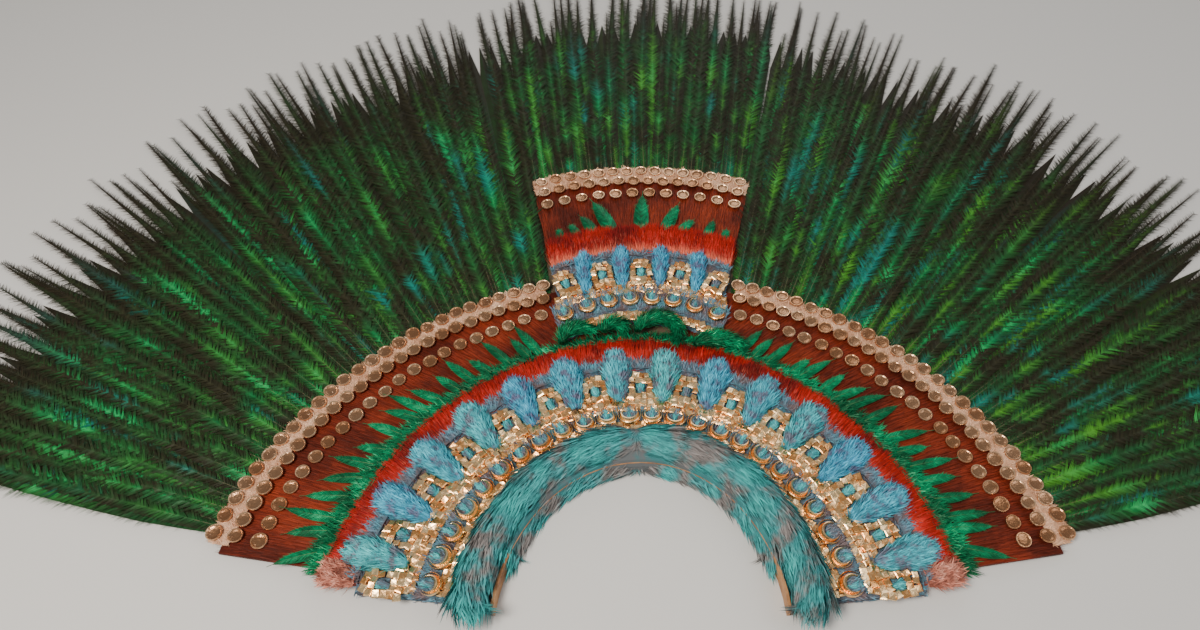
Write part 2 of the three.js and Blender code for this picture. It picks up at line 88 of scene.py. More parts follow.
# The crest panel: arcs round a centre above the arch centre, and its half width at each radius.
CREST_CENTRE_Y = ARCH_Y + 220 * MM
CREST_SIDES = {"radius": (150, 181, 262, 310, 440), "half_width": (88, 107, 115, 123, 155)}
CREST = {
    "bed_inner": 150,
    "crescents": 181,
    "fluff_inner": 168,
    "plates_middle": 198,
    "towers": 221,
    "tuft_foot": 202,
    "bed_outer": 262,
    "blue_fringe": 256,
    "tuft_tip": 272,
    "brown_inner": 262.5,
    "red_inner": 265,
    "red_outer": 317,
    "blades": 307,
    "disc_inner": 380,
    "disc_middle": 404,
    "border_inner": 404,
    "disc_outer": 424,
    "brown_outer": 433,
    "plume_root": 433.6,
    "border_outer": 438,
}
CREST_FLANK = 1.6

LAYER_FOOT = 2.8
BROWN_TOP = 7.2
BED_TOP = 13

PLUME_REACH = {
    "angle": (0, 14, 24, 36, 50, 60, 68, 78),
    "reach": (1180, 1145, 1096, 1070, 1016, 976, 948, 884),
}
CREST_EDGE = 12.8  # the angle where the crest's plumes meet the wings'

# ---- Places --------------------------------------------------------------------------------------


def mix(a, b, share):
    return a + (b - a) * share


def spread(count, start, end):
    """Evenly spaced values, ends included."""
    return [mix(start, end, k / (count - 1)) for k in range(count)]


def on_ring(name, angle, out=0):
    """A place on a ring in the plane, angle in degrees from +Y to the right, out in mm beyond the ring."""
    across, rise = RINGS[name]
    turn = math.radians(angle)
    return Vector(
        ((across + out) * MM * math.sin(turn), ARCH_Y + (rise + out) * MM * math.cos(turn), 0)
    )


def at_radius(radius, angle):
    turn = math.radians(angle)
    return Vector((radius * MM * math.sin(turn), ARCH_Y + radius * MM * math.cos(turn), 0))


def half_width(radius):
    return np.interp(radius, CREST_SIDES["radius"], CREST_SIDES["half_width"])


def on_crest(radius, side):
    """A place on the crest panel: side runs from -1 at its left edge to 1 at its right."""
    x = side * half_width(radius)
    return Vector((x * MM, CREST_CENTRE_Y + math.sqrt(radius**2 - x**2) * MM, 0))


def crest_at(radius, x):
    return on_crest(radius, x / half_width(radius))


def flank_angle(name):
    """Where a ring passes under the crest panel's side."""
    return math.degrees(math.asin((half_width(240) + CREST_FLANK) / RINGS[name][0]))


def away(place):
    """The direction outwards from the arch centre at a place."""
    return Vector((place.x, place.y - ARCH_Y, 0)).normalized()


def ring_line(name):
    return lambda across, start, end: on_ring(name, mix(start, end, across))


def crest_line(name):
    return lambda across, start, end: on_crest(CREST[name], mix(start, end, across))


def heading(angle):
    """The direction in the plane at an angle in degrees from +Y to the right."""
    turn = math.radians(angle)
    return Vector((math.sin(turn), math.cos(turn), 0))


def beside(ahead):
    """The direction to the right of another one in the plane."""
    return Vector((ahead.y, -ahead.x, 0))


def crest_turn(name, x):
    """The angle at which the crest's arc stands at x."""
    return math.degrees(math.asin(x / CREST[name]))


def lifted(place, height):
    """The place raised to a height in mm."""
    return Vector((place.x, place.y, height * MM))


# ---- Meshes --------------------------------------------------------------------------------------


def make_mesh(name, points, faces=(), edges=(), **columns):
    """A mesh object. Each extra column holds one number or vector for each point."""
    mesh = bpy.data.meshes.new(name)
    mesh.from_pydata([tuple(p) for p in points], list(edges), list(faces))
    for column, values in columns.items():
        values = np.array([tuple(v) if isinstance(v, Vector) else v for v in values], dtype=float)
        vectors = values.ndim == 2
        kind = "FLOAT_VECTOR" if vectors else "FLOAT"
        held = mesh.attributes.new(column, kind, "POINT")
        held.data.foreach_set("vector" if vectors else "value", values.ravel())
    thing = bpy.data.objects.new(name, mesh)
    bpy.context.scene.collection.objects.link(thing)
    return thing


class Form:
    """A closed base for feathers. flow holds a direction for each point, and its length is the share of the
    full feather length there. tint moves the colour of the whole form."""

    def __init__(self, points, faces, flow, tint=0.0):
        self.points, self.faces, self.flow = points, faces, flow
        self.tint = [tint] * len(points)


def merge(*forms):
    """Several forms as one."""
    whole = Form([], [], [])
    for form in forms:
        whole.faces += [[i + len(whole.points) for i in loop] for loop in form.faces]
        whole.points += form.points
        whole.flow += form.flow
        whole.tint += form.tint
    return whole


def sheet(columns, shares, place, top, foot, short=1.0):
    """A closed sheet over columns and rows. Its underside is flat; flow points outwards along each column,
    and feathers shorten to the share short at the outer edge."""
    rows = len(shares)
    points, flow, faces = [], [], []
    for column in range(columns + 1):
        line = [place(column, share) for share in shares]
        for row, at in enumerate(line):
            points.append(lifted(at, top(column, row)))
            points.append(lifted(at, foot))
            ahead, behind = line[min(row + 1, rows - 1)], line[max(row - 1, 0)]
            flow += [(ahead - behind).normalized() * mix(1, short, max(shares[row] - 0.4, 0) / 0.6)] * 2
    upper = lambda column, row: 2 * (column * rows + row)
    lower = lambda column, row: upper(column, row) + 1
    for c in range(columns):
        for r in range(rows - 1):
            faces.append([upper(c, r), upper(c + 1, r), upper(c + 1, r + 1), upper(c, r + 1)])
            faces.append([lower(c, r), lower(c, r + 1), lower(c + 1, r + 1), lower(c + 1, r)])
        faces.append([lower(c, 0), lower(c + 1, 0), upper(c + 1, 0), upper(c, 0)])
        last = rows - 1
        faces.append([lower(c + 1, last), lower(c, last), upper(c, last), upper(c + 1, last)])
    for r in range(rows - 1):
        faces.append([lower(0, r), upper(0, r), upper(0, r + 1), lower(0, r + 1)])
        c = columns
        faces.append([lower(c, r), lower(c, r + 1), upper(c, r + 1), upper(c, r)])
    return Form(points, faces, flow)


def loft(sections, flow_lines, tint=0.0):
    """A closed form through sections with equally many points. flow_lines has a direction for each section."""
    count = len(sections[0])
    points = [p for section in sections for p in section]
    flow = [direction for direction in flow_lines for _ in range(count)]
    faces = []
    for s in range(len(sections) - 1):
        for k in range(count):
            a, b = s * count + k, s * count + (k + 1) % count
            faces.append([a, b, b + count, a + count])
    last = (len(sections) - 1) * count
    faces.append(list(range(count))[::-1])
    faces.append([last + k for k in range(count)])
    return Form(points, faces, flow, tint)


def band(
    inner, outer, start, end, columns, foot, profile, notch=1.0, ragged=0.0, seed=0, short=1.0, slant=0.0
):
    """A feather band between two lines, with a ragged outer edge. profile is a list of (share, top) in mm.
    slant is how much further than start and end the inner line reaches at the end nearest the middle, in
    degrees."""
    chance = random.Random(seed)
    falls = [chance.uniform(0, ragged) + (0 if c % 2 else 1 - notch) for c in range(columns + 1)]

    first, last = (start - slant, end) if abs(start) < abs(end) else (start, end + slant)

    def place(column, share):
        across = column / columns
        return inner(across, first, last).lerp(outer(across, start, end), share * (1 - falls[column]))

    shares = [share for share, _ in profile]
    return sheet(columns, shares, place, lambda _, row: profile[row][1], foot, short)


def collar_band(inner, outer, start, end, columns, foot, profile, **shape):
    return band(ring_line(inner), ring_line(outer), start, end, columns, foot, profile, **shape)


def crest_band(inner, outer, columns, foot, profile, **shape):
    return band(crest_line(inner), crest_line(outer), -1, 1, columns, foot, profile, **shape)


# ---- Geometry nodes ------------------------------------------------------------------------------


class Tree:
    """A geometry-nodes tree with named inputs, ending in one joined mesh of one material."""

    SOCKETS = {
        float: "NodeSocketFloat",
        int: "NodeSocketInt",
        "object": "NodeSocketObject",
        "material": "NodeSocketMaterial",
    }

    def __init__(self, name, **inputs):
        self.tree = bpy.data.node_groups.new(name, "GeometryNodeTree")
        face = self.tree.interface
        face.new_socket("Geometry", in_out="INPUT", socket_type="NodeSocketGeometry")
        for label, value in inputs.items():
            kind = self.SOCKETS[value if isinstance(value, str) else type(value)]
            socket = face.new_socket(label, in_out="INPUT", socket_type=kind)
            if not isinstance(value, str):
                socket.default_value = value
        face.new_socket("Geometry", in_out="OUTPUT", socket_type="NodeSocketGeometry")
        self.inputs = self.tree.nodes.new("NodeGroupInput").outputs

    def put(self, kind, *feeds, **settings):
        node = self.tree.nodes.new(kind)
        for key, value in settings.items():
            setattr(node, key, value)
        for key, value in feeds:
            if isinstance(value, bpy.types.NodeSocket):
                self.tree.links.new(value, node.inputs[key])
            else:
                node.inputs[key].default_value = value
        return node

    def math(self, operation, a, b=0.0):
        return self.put("ShaderNodeMath", (0, a), (1, b), operation=operation).outputs[0]

    def times(self, a, b):
        return self.math("MULTIPLY", a, b)

    def plus(self, a, b):
        return self.math("ADD", a, b)

    def minus(self, a, b):
        return self.math("SUBTRACT", a, b)

    def chance(self, low, high, seed, kind="FLOAT"):
        """A random value for each element."""
        first = {"FLOAT": 2, "FLOAT_VECTOR": 0}[kind]
        node = self.put(
            "FunctionNodeRandomValue", (first, low), (first + 1, high), ("Seed", seed), data_type=kind
        )
        return node.outputs[{"FLOAT": 1, "FLOAT_VECTOR": 0}[kind]]

    def column(self, name, kind="FLOAT"):
        node = self.put("GeometryNodeInputNamedAttribute", ("Name", name), data_type=kind)
        return node.outputs["Attribute"]

    def store(self, geometry, name, value, domain="INSTANCE"):
        node = self.put(
            "GeometryNodeStoreNamedAttribute",
            ("Geometry", geometry),
            ("Name", name),
            ("Value", value),
            data_type="FLOAT",
            domain=domain,
        )
        return node.outputs["Geometry"]

    def end(self, *geometries):
        joined = self.put("GeometryNodeJoinGeometry")
        for geometry in geometries:
            self.tree.links.new(geometry, joined.inputs[0])
        whole = self.put("GeometryNodeRealizeInstances", (0, joined.outputs[0])).outputs[0]
        at = self.put("ShaderNodeSeparateXYZ", (0, self.put("GeometryNodeInputPosition").outputs[0])).outputs
        above = self.math("MAXIMUM", at["Z"], FLOOR_GAP)
        laid = self.put("ShaderNodeCombineXYZ", (0, at["X"]), (1, at["Y"]), (2, above)).outputs[0]
        whole = self.put("GeometryNodeSetPosition", (0, whole), ("Position", laid)).outputs[0]
        dressed = self.put("GeometryNodeSetMaterial", (0, whole), ("Material", self.inputs["Material"]))
        self.put("NodeGroupOutput", (0, dressed.outputs[0]))
        return self


def plumage_tree():
    """Soft small feathers over a form, laid along its flow column."""
    tree = Tree(
        "Plumage",
        Strand="object",
        Density=100000.0,
        Length=0.02,
        Width=0.003,
        Lift=0.3,
        Stray=0.25,
        Facing=-0.35,
        Seed=1,
        Material="material",
    )
    sockets = tree.inputs
    normal = tree.put("GeometryNodeInputNormal").outputs[0]
    up = tree.put("ShaderNodeSeparateXYZ", (0, normal)).outputs["Z"]
    facing = tree.put("FunctionNodeCompare", (0, up), (1, sockets["Facing"]), operation="GREATER_THAN")
    strewn = tree.put(
        "GeometryNodeDistributePointsOnFaces",
        ("Mesh", sockets["Geometry"]),
        ("Selection", facing.outputs[0]),
        ("Density", sockets["Density"]),
        ("Seed", sockets["Seed"]),
    )
    laid = tree.put(
        "FunctionNodeAxesToRotation",
        ("Primary Axis", strewn.outputs["Normal"]),
        ("Secondary Axis", tree.column("flow", "FLOAT_VECTOR")),
        primary_axis="Z",
        secondary_axis="Y",
    ).outputs[0]
    stray = sockets["Stray"]
    yaw = tree.times(tree.chance(-1.0, 1.0, 11), stray)
    roll = tree.times(tree.chance(-1.6, 1.6, 12), stray)
    lift = tree.times(tree.chance(0.3, 1.7, 13), sockets["Lift"])
    swing = tree.put("ShaderNodeCombineXYZ", ("X", lift), ("Y", roll), ("Z", yaw)).outputs[0]
    swing = tree.put("FunctionNodeEulerToRotation", (0, swing)).outputs[0]
    turned = tree.put(
        "FunctionNodeRotateRotation", ("Rotation", laid), ("Rotate By", swing), rotation_space="LOCAL"
    ).outputs[0]
    size = tree.chance(0.6, 1.25, 14)
    room = tree.put("ShaderNodeVectorMath", (0, tree.column("flow", "FLOAT_VECTOR")), operation="LENGTH")
    size = tree.times(size, room.outputs["Value"])
    length = tree.times(sockets["Length"], size)
    width = tree.times(sockets["Width"], size)
    scale = tree.put("ShaderNodeCombineXYZ", ("X", width), ("Y", length), ("Z", length)).outputs[0]
    strand = tree.put("GeometryNodeObjectInfo", ("Object", sockets["Strand"])).outputs["Geometry"]
    strands = tree.put(
        "GeometryNodeInstanceOnPoints",
        ("Points", strewn.outputs["Points"]),
        ("Instance", strand),
        ("Rotation", turned),
        ("Scale", scale),
    ).outputs[0]
    strands = tree.store(strands, "tone", tree.chance(0.0, 1.0, 15))
    return tree.end(sockets["Geometry"], strands)


def plume_tree():
    """Feathers along lines: a shaft with barbs on both sides. The lines carry the columns half_vane, shade
    and along."""
    tree = Tree(
        "Plumes",
        Barbs="object",
        Pitch=0.003,
        Vane=0.8,
        Wisp=1.0,
        Shaft=0.0009,
        Stray=0.2,
        Seed=1,
        Material="material",
    )
    sockets = tree.inputs
    lines = tree.put("GeometryNodeMeshToCurve", (0, sockets["Geometry"])).outputs[0]
    spaced = tree.put(
        "GeometryNodeResampleCurve", ("Curve", lines), ("Length", sockets["Pitch"]), mode="LENGTH"
    ).outputs[0]
    tangent = tree.put("GeometryNodeInputTangent").outputs[0]
    upright = tree.put(
        "FunctionNodeAxesToRotation",
        ("Primary Axis", tangent),
        ("Secondary Axis", (0.0, 0.0, 1.0)),
        primary_axis="Y",
        secondary_axis="Z",
    ).outputs[0]
    stray = sockets["Stray"]
    shade = tree.column("shade")
    along = tree.column("along")
    # Barbs hang together in clumps, so neighbours share most of their turn.
    clump_at = tree.put(
        "ShaderNodeCombineXYZ",
        ("X", tree.times(shade, 91.0)),
        ("Y", tree.times(along, 23.0)),
    ).outputs[0]
    clump = tree.put("ShaderNodeTexNoise", ("Vector", clump_at), ("Scale", 1.0), ("Detail", 1.0))
    clump = tree.minus(clump.outputs[0], 0.5)
    yaw = tree.times(tree.plus(tree.chance(-0.5, 0.5, 21), clump), stray)
    roll = tree.times(tree.plus(tree.chance(-0.7, 0.7, 22), clump), stray)
    pitch = tree.times(tree.chance(-0.2, 0.5, 23), stray)
    swing = tree.put("ShaderNodeCombineXYZ", ("X", pitch), ("Y", roll), ("Z", yaw)).outputs[0]
    swing = tree.put("FunctionNodeEulerToRotation", (0, swing)).outputs[0]
    turned = tree.put(
        "FunctionNodeRotateRotation", ("Rotation", upright), ("Rotate By", swing), rotation_space="LOCAL"
    ).outputs[0]
    size = tree.times(tree.column("half_vane"), tree.chance(0.75, 1.15, 24))
    barbs = tree.put("GeometryNodeObjectInfo", ("Object", sockets["Barbs"])).outputs["Geometry"]
    vanes = tree.put(
        "GeometryNodeInstanceOnPoints",
        ("Points", spaced),
        ("Instance", barbs),
        ("Rotation", turned),
        ("Scale", size),
    ).outputs[0]
    vanes = tree.store(vanes, "tone", tree.chance(0.0, 1.0, 25))
    # Under the barbs each feather has a thin roof-shaped vane, a little narrower than the barbs reach.
    roof = tree.put(
        "GeometryNodeCurveQuadraticBezier",
        ("Resolution", 2),
        ("Start", (-1.0, 0.30, 0.0)),
        ("Middle", (0.0, 0.10, 0.0)),
        ("End", (1.0, 0.30, 0.0)),
    ).outputs[0]
    place = tree.put("GeometryNodeInputPosition").outputs[0]
    across = tree.put("ShaderNodeSeparateXYZ", (0, place)).outputs["X"]
    roof = tree.store(roof, "reach", tree.math("ABSOLUTE", across), "POINT")
    level = tree.put("GeometryNodeSetCurveNormal", (0, lines), mode="Z_UP").outputs[0]
    wide = tree.times(tree.column("half_vane"), sockets["Vane"])
    thinned = tree.times(tree.times(along, along), sockets["Wisp"])
    wide = tree.times(wide, tree.minus(1.05, thinned))
    ribbons = tree.put(
        "GeometryNodeCurveToMesh", ("Curve", level), ("Profile Curve", roof), ("Scale", wide)
    ).outputs[0]
    ribbons = tree.store(ribbons, "ribbon", 1.0, "POINT")
    thin = tree.put("GeometryNodeCurvePrimitiveCircle", ("Resolution", 3), ("Radius", sockets["Shaft"]))
    thick = tree.minus(1.15, along)
    shafts = tree.put(
        "GeometryNodeCurveToMesh",
        ("Curve", lines),
        ("Profile Curve", thin.outputs[0]),
        ("Scale", thick),
        ("Fill Caps", True),
    ).outputs[0]
    shafts = tree.store(shafts, "shaft", 1.0, "POINT")
    return tree.end(vanes, ribbons, shafts)


def ornament_tree():
    """One ornament at each point of a mesh, turned and sized by its turn and size columns."""
    tree = Tree("Ornaments", Ornament="object", Tilt=0.05, Seed=1, Material="material")
    sockets = tree.inputs
    points = tree.put("GeometryNodeMeshToPoints", (0, sockets["Geometry"])).outputs[0]
    swing = tree.put(
        "ShaderNodeVectorMath",
        (0, tree.chance((-1.0, -1.0, -0.5), (1.0, 1.0, 0.5), 31, "FLOAT_VECTOR")),
        ("Scale", sockets["Tilt"]),
        operation="SCALE",
    ).outputs[0]
    turn = tree.put("ShaderNodeCombineXYZ", ("Z", tree.column("turn"))).outputs[0]
    turn = tree.put("FunctionNodeEulerToRotation", (0, turn)).outputs[0]
    swing = tree.put("FunctionNodeEulerToRotation", (0, swing)).outputs[0]
    turned = tree.put(
        "FunctionNodeRotateRotation", ("Rotation", turn), ("Rotate By", swing), rotation_space="LOCAL"
    ).outputs[0]
    ornament = tree.put("GeometryNodeObjectInfo", ("Object", sockets["Ornament"])).outputs["Geometry"]
    placed = tree.put(
        "GeometryNodeInstanceOnPoints",
        ("Points", points),
        ("Instance", ornament),
        ("Rotation", turned),
        ("Scale", tree.column("size", "FLOAT_VECTOR")),
    ).outputs[0]
    placed = tree.store(placed, "tone", tree.chance(0.0, 1.0, 32))
    return tree.end(placed)


def grow(thing, tree, **values):
    """Runs a tree on an object and gives the result back as a plain mesh object of the same name."""
    modifier = thing.modifiers.new("grow", "NODES")
    modifier.node_group = tree.tree
    names = {item.name: item.identifier for item in tree.tree.interface.items_tree if item.in_out == "INPUT"}
    for label, value in values.items():
        modifier[names[label]] = value
    bpy.context.view_layer.update()
    grown = thing.evaluated_get(bpy.context.evaluated_depsgraph_get())
    mesh = bpy.data.meshes.new_from_object(grown)
    thing.modifiers.remove(modifier)
    thing.data = mesh
    mesh.name = thing.name
    return thing


def join(name, *things):
    """Several mesh objects as one, each with its own materials kept."""
    bpy.ops.object.select_all(action="DESELECT")
    for thing in things:
        thing.select_set(True)
    bpy.context.view_layer.objects.active = things[0]
    bpy.ops.object.join()
    things[0].name = things[0].data.name = name
    return things[0]


PLUMAGE = plumage_tree()
PLUMES = plume_tree()
ORNAMENTS = ornament_tree()

# ---- Shader nodes --------------------------------------------------------------------------------


class Shading:
    """Shader nodes of a material or of a group, put together by name."""

    def __init__(self, tree):
        self.tree = tree
        self.nodes = tree.nodes

    put = Tree.put
    math, times, plus, minus = Tree.math, Tree.times, Tree.plus, Tree.minus

    def mix(self, share, a, b, blend="MIX"):
        node = self.put("ShaderNodeMix", (0, share), (6, a), (7, b), data_type="RGBA", blend_type=blend)
        return node.outputs[2]

    def ramp(self, value, low, high):
        """0 below low and 1 above high, smoothly."""
        node = self.put(
            "ShaderNodeMapRange", (0, value), (1, low), (2, high), interpolation_type="SMOOTHSTEP"
        )
        return node.outputs[0]

    def noise(self, vector, scale, detail=2.0, roughness=0.5):
        node = self.put(
            "ShaderNodeTexNoise",
            ("Vector", vector),
            ("Scale", scale),
            ("Detail", detail),
            ("Roughness", roughness),
        )
        return node.outputs[0]

    def column(self, name):
        return self.put("ShaderNodeAttribute", attribute_name=name).outputs["Fac"]


def shader_group(name, inputs, outputs):
    """An empty shader group with named sockets; returns it with its input and output nodes."""
    tree = bpy.data.node_groups.new(name, "ShaderNodeTree")
    for side, sockets in (("INPUT", inputs), ("OUTPUT", outputs)):
        for label, kind in sockets.items():
            tree.interface.new_socket(label, in_out=side, socket_type="NodeSocket" + kind)
    shading = Shading(tree)
    return shading, shading.put("NodeGroupInput").outputs, shading.put("NodeGroupOutput").inputs


def feather_group():
    """Soft feather colour: patches of the main and bright colour, a dark base, and a tone for each barb."""
    inputs = {
        "Place": "Vector",
        "Tone": "Float",
        "Reach": "Float",
        "Main": "Color",
        "Bright": "Color",
        "Dark": "Color",
        "Root": "Color",
        "Patch": "Float",
        "Brightness": "Float",
        "Darkness": "Float",
        "Rootness": "Float",
    }
    shading, given, result = shader_group("Feather colour", inputs, {"Color": "Color", "Height": "Float"})
    patches = shading.noise(given["Place"], given["Patch"], 3.0, 0.6)
    bright = shading.times(shading.ramp(patches, 0.48, 0.68), given["Brightness"])
    dark = shading.times(shading.ramp(patches, 0.52, 0.36), given["Darkness"])
    colour = shading.mix(bright, given["Main"], given["Bright"])
    colour = shading.mix(dark, colour, given["Dark"])
    near = shading.ramp(given["Reach"], 0.6, 0.0)
    colour = shading.mix(shading.times(near, given["Rootness"]), colour, given["Root"])
    gain = shading.plus(shading.times(given["Tone"], 0.75), 0.6)
    shaded = shading.put("ShaderNodeVectorMath", (0, colour), ("Scale", gain), operation="SCALE").outputs[0]
    grain = shading.noise(given["Place"], 900.0, 2.0)
    for socket, value in ((result["Color"], shaded), (result["Height"], grain)):
        shading.tree.links.new(value, socket)
    return shading.tree


def gold_group():
    """Beaten gold: light and deep patches, fine dents, and a tone for each ornament."""
    inputs = {"Place": "Vector", "Tone": "Float", "Light": "Color", "Deep": "Color", "Patch": "Float"}
    outputs = {"Color": "Color", "Roughness": "Float", "Height": "Float"}
    shading, given, result = shader_group("Beaten gold", inputs, outputs)
    patches = shading.noise(given["Place"], given["Patch"], 3.0, 0.6)
    mask = shading.plus(shading.times(patches, 0.9), shading.times(given["Tone"], 0.5))
    colour = shading.mix(shading.ramp(mask, 0.45, 0.95), given["Deep"], given["Light"])
    dents = shading.noise(given["Place"], 420.0, 2.0)
    rough = shading.plus(shading.times(dents, 0.22), 0.16)
    for label, value in (("Color", colour), ("Roughness", rough), ("Height", dents)):
        shading.tree.links.new(value, result[label])
    return shading.tree


FEATHER_COLOUR = feather_group()
BEATEN_GOLD = gold_group()


def new_material(name, roughness, metallic=0.0, **sockets):
    material = bpy.data.materials.new(name)
    material.use_nodes = True
    shading = Shading(material.node_tree)
    gloss = material.node_tree.nodes["Principled BSDF"]
    gloss.inputs["Roughness"].default_value = roughness
    gloss.inputs["Metallic"].default_value = metallic
    for label, value in sockets.items():
        gloss.inputs[label.replace("_", " ")].default_value = value
    return material, shading, gloss


def put_group(shading, group, **values):
    node = shading.put("ShaderNodeGroup", node_tree=group)
    for label, value in values.items():
        if isinstance(value, bpy.types.NodeSocket):
            shading.tree.links.new(value, node.inputs[label])
        else:
            node.inputs[label].default_value = value
    return node.outputs


def bump(shading, gloss, height, strength, distance):
    node = shading.put(
        "ShaderNodeBump", ("Strength", strength), ("Distance", distance), ("Height", height)
    )
    shading.tree.links.new(node.outputs[0], gloss.inputs["Normal"])


FEATHER_SHINE = 0.18


TINT = (0.55, 0.55, 1.3, 1)  # what a fully tinted form's colour is multiplied by


def feather_material(name, main, bright, dark, root, patch, amounts, roughness, **sockets):
    """Small soft feathers. amounts are the shares of the bright, dark and root colours."""
    material, shading, gloss = new_material(name, roughness, **sockets)
    place = shading.put("ShaderNodeTexCoord").outputs["Object"]
    brightness, darkness, rootness = amounts
    made = put_group(
        shading,
        FEATHER_COLOUR,
        Place=place,
        Tone=shading.column("tone"),
        Reach=shading.column("reach"),
        Main=(*main, 1),
        Bright=(*bright, 1),
        Dark=(*dark, 1),
        Root=(*root, 1),
        Patch=patch,
        Brightness=brightness,
        Darkness=darkness,
        Rootness=rootness,
    )
    shaft = shading.times(shading.column("shaft"), 0.7)
    made_colour = shading.mix(shaft, made["Color"], (0.10, 0.22, 0.08, 1))
    tinted = shading.mix(shading.column("tint"), made_colour, shading.mix(1.0, made_colour, TINT, "MULTIPLY"))
    shading.tree.links.new(tinted, gloss.inputs["Base Color"])
    gloss.inputs["Specular IOR Level"].default_value = FEATHER_SHINE
    bump(shading, gloss, made["Height"], 0.3, 0.0004)
    return material


def gold_material(name, light, deep, patch, dent=0.4, hollow=(0.30, 0.13, 0.06)):
    """Beaten gold. hollow is the colour of dished middles, which the dish column marks."""
    material, shading, gloss = new_material(name, 0.3, 1.0)
    place = shading.put("ShaderNodeTexCoord").outputs["Object"]
    made = put_group(
        shading,
        BEATEN_GOLD,
        Place=place,
        Tone=shading.column("tone"),
        Light=(*light, 1),
        Deep=(*deep, 1),
        Patch=patch,
    )
    dished = shading.times(shading.column("dish"), 0.75)
    colour = shading.mix(dished, made["Color"], (*hollow, 1))
    shading.tree.links.new(colour, gloss.inputs["Base Color"])
    shading.tree.links.new(made["Roughness"], gloss.inputs["Roughness"])
    bump(shading, gloss, made["Height"], dent, 0.0006)
    return material


def plume_material():
    """Long tail feathers: brown-black hair-fine barbs on their own dark green, with emerald, teal and
    yellow-green stretches that are painted glints of the iridescent sheen.
    """
    material, shading, gloss = new_material("long green plumes", 0.5, 0.1)
    gloss.inputs["Specular IOR Level"].default_value = FEATHER_SHINE
    place = shading.put("ShaderNodeTexCoord").outputs["Object"]
    shade, along, tone, reach = (shading.column(name) for name in ("shade", "along", "tone", "reach"))
    stretch_at = shading.put(
        "ShaderNodeCombineXYZ",
        ("X", shading.times(shade, 57.0)),
        ("Y", shading.times(along, 2.7)),
    ).outputs[0]
    stretches = shading.noise(stretch_at, 1.0, 2.0)
    fine = shading.noise(place, 60.0, 3.0, 0.65)
    # lit is the mask of painted glints: it follows each plume's stretches, is stronger near the shaft and
    # weaker towards the tip.
    lit = shading.plus(shading.times(stretches, 0.8), shading.times(fine, 0.2))
    lit = shading.plus(lit, shading.times(shading.minus(0.4, reach), 0.14))
    lit = shading.minus(lit, shading.times(along, 0.08))
    colour = shading.mix(shading.ramp(lit, 0.37, 0.60), (0.021, 0.020, 0.009, 1), (0.008, 0.085, 0.022, 1))
    # Painted highlight: emerald where the glint mask is strongest, then painted teal and yellow-green glints,
    # the yellow-green ones more to the right.
    colour = shading.mix(shading.ramp(lit, 0.54, 0.73), colour, (0.010, 0.36, 0.10, 1))
    hue = shading.noise(stretch_at, 0.63, 1.0)
    teal = shading.times(shading.ramp(hue, 0.55, 0.66), shading.ramp(lit, 0.42, 0.6))
    colour = shading.mix(shading.times(teal, 0.7), colour, (0.003, 0.17, 0.16, 1))
    sides = shading.put("ShaderNodeSeparateXYZ", (0, place)).outputs
    olive = shading.times(shading.ramp(hue, 0.52, 0.38), shading.ramp(sides["X"], -1.1, 0.5))
    olive = shading.times(olive, shading.ramp(lit, 0.45, 0.6))
    colour = shading.mix(shading.times(olive, 0.75), colour, (0.07, 0.26, 0.012, 1))
    tips = shading.plus(along, shading.times(stretches, 0.35))
    colour = shading.mix(
        shading.times(shading.ramp(tips, 0.68, 1.12), 0.88), colour, (0.024, 0.016, 0.009, 1)
    )
    # Fine slanting lines stand for the barbs on the vane under the real ones.
    slant = shading.minus(shading.times(along, 420.0), shading.times(reach, 10.0))
    line_at = shading.put(
        "ShaderNodeCombineXYZ", ("X", shading.times(shade, 900.0)), ("Y", slant)
    ).outputs[0]
    lines = shading.noise(line_at, 1.0, 0.0)
    strength = shading.times(shading.column("ribbon"), shading.minus(lines, 0.35))
    gain = shading.plus(shading.times(tone, 0.55), shading.plus(0.75, strength))
    colour = shading.put("ShaderNodeVectorMath", (0, colour), ("Scale", gain), operation="SCALE").outputs[0]
    colour = shading.mix(
        shading.times(shading.column("shaft"), 0.75), colour, (0.12, 0.095, 0.055, 1)
    )
    shading.tree.links.new(colour, gloss.inputs["Base Color"])
    bump(shading, gloss, fine, 0.2, 0.001)
    return material


def leather_material():
    material, shading, gloss = new_material("tan leather", 0.62)
    place = shading.put("ShaderNodeTexCoord").outputs["Object"]
    worn = shading.noise(place, 40.0, 4.0, 0.6)
    colour = shading.mix(shading.ramp(worn, 0.3, 0.7), (0.22, 0.085, 0.03, 1), (0.52, 0.26, 0.11, 1))
    shading.tree.links.new(colour, gloss.inputs["Base Color"])
    pores = shading.put("ShaderNodeTexVoronoi", ("Vector", place), ("Scale", 700.0)).outputs["Distance"]
    bump(shading, gloss, pores, 0.4, 0.0004)
    return material


def cloth_material():
    """Plain woven fibre: two crossing sets of threads."""
    material, shading, gloss = new_material("woven fibre", 0.85)
    place = shading.put("ShaderNodeTexCoord").outputs["Object"]
    threads = [
        shading.put(
            "ShaderNodeTexWave",
            ("Vector", place),
            ("Scale", 260.0),
            ("Distortion", 1.2),
            ("Detail", 1.0),
            bands_direction=direction,
        ).outputs["Fac"]
        for direction in ("X", "Y")
    ]
    weave = shading.math("MAXIMUM", *threads)
    age = shading.noise(place, 18.0, 3.0)
    colour = shading.mix(age, (0.08, 0.055, 0.03, 1), (0.17, 0.12, 0.07, 1))
    colour = shading.mix(shading.times(weave, 0.4), colour, (0.05, 0.034, 0.02, 1))
    shading.tree.links.new(colour, gloss.inputs["Base Color"])
    bump(shading, gloss, weave, 0.5, 0.0005)
    return material


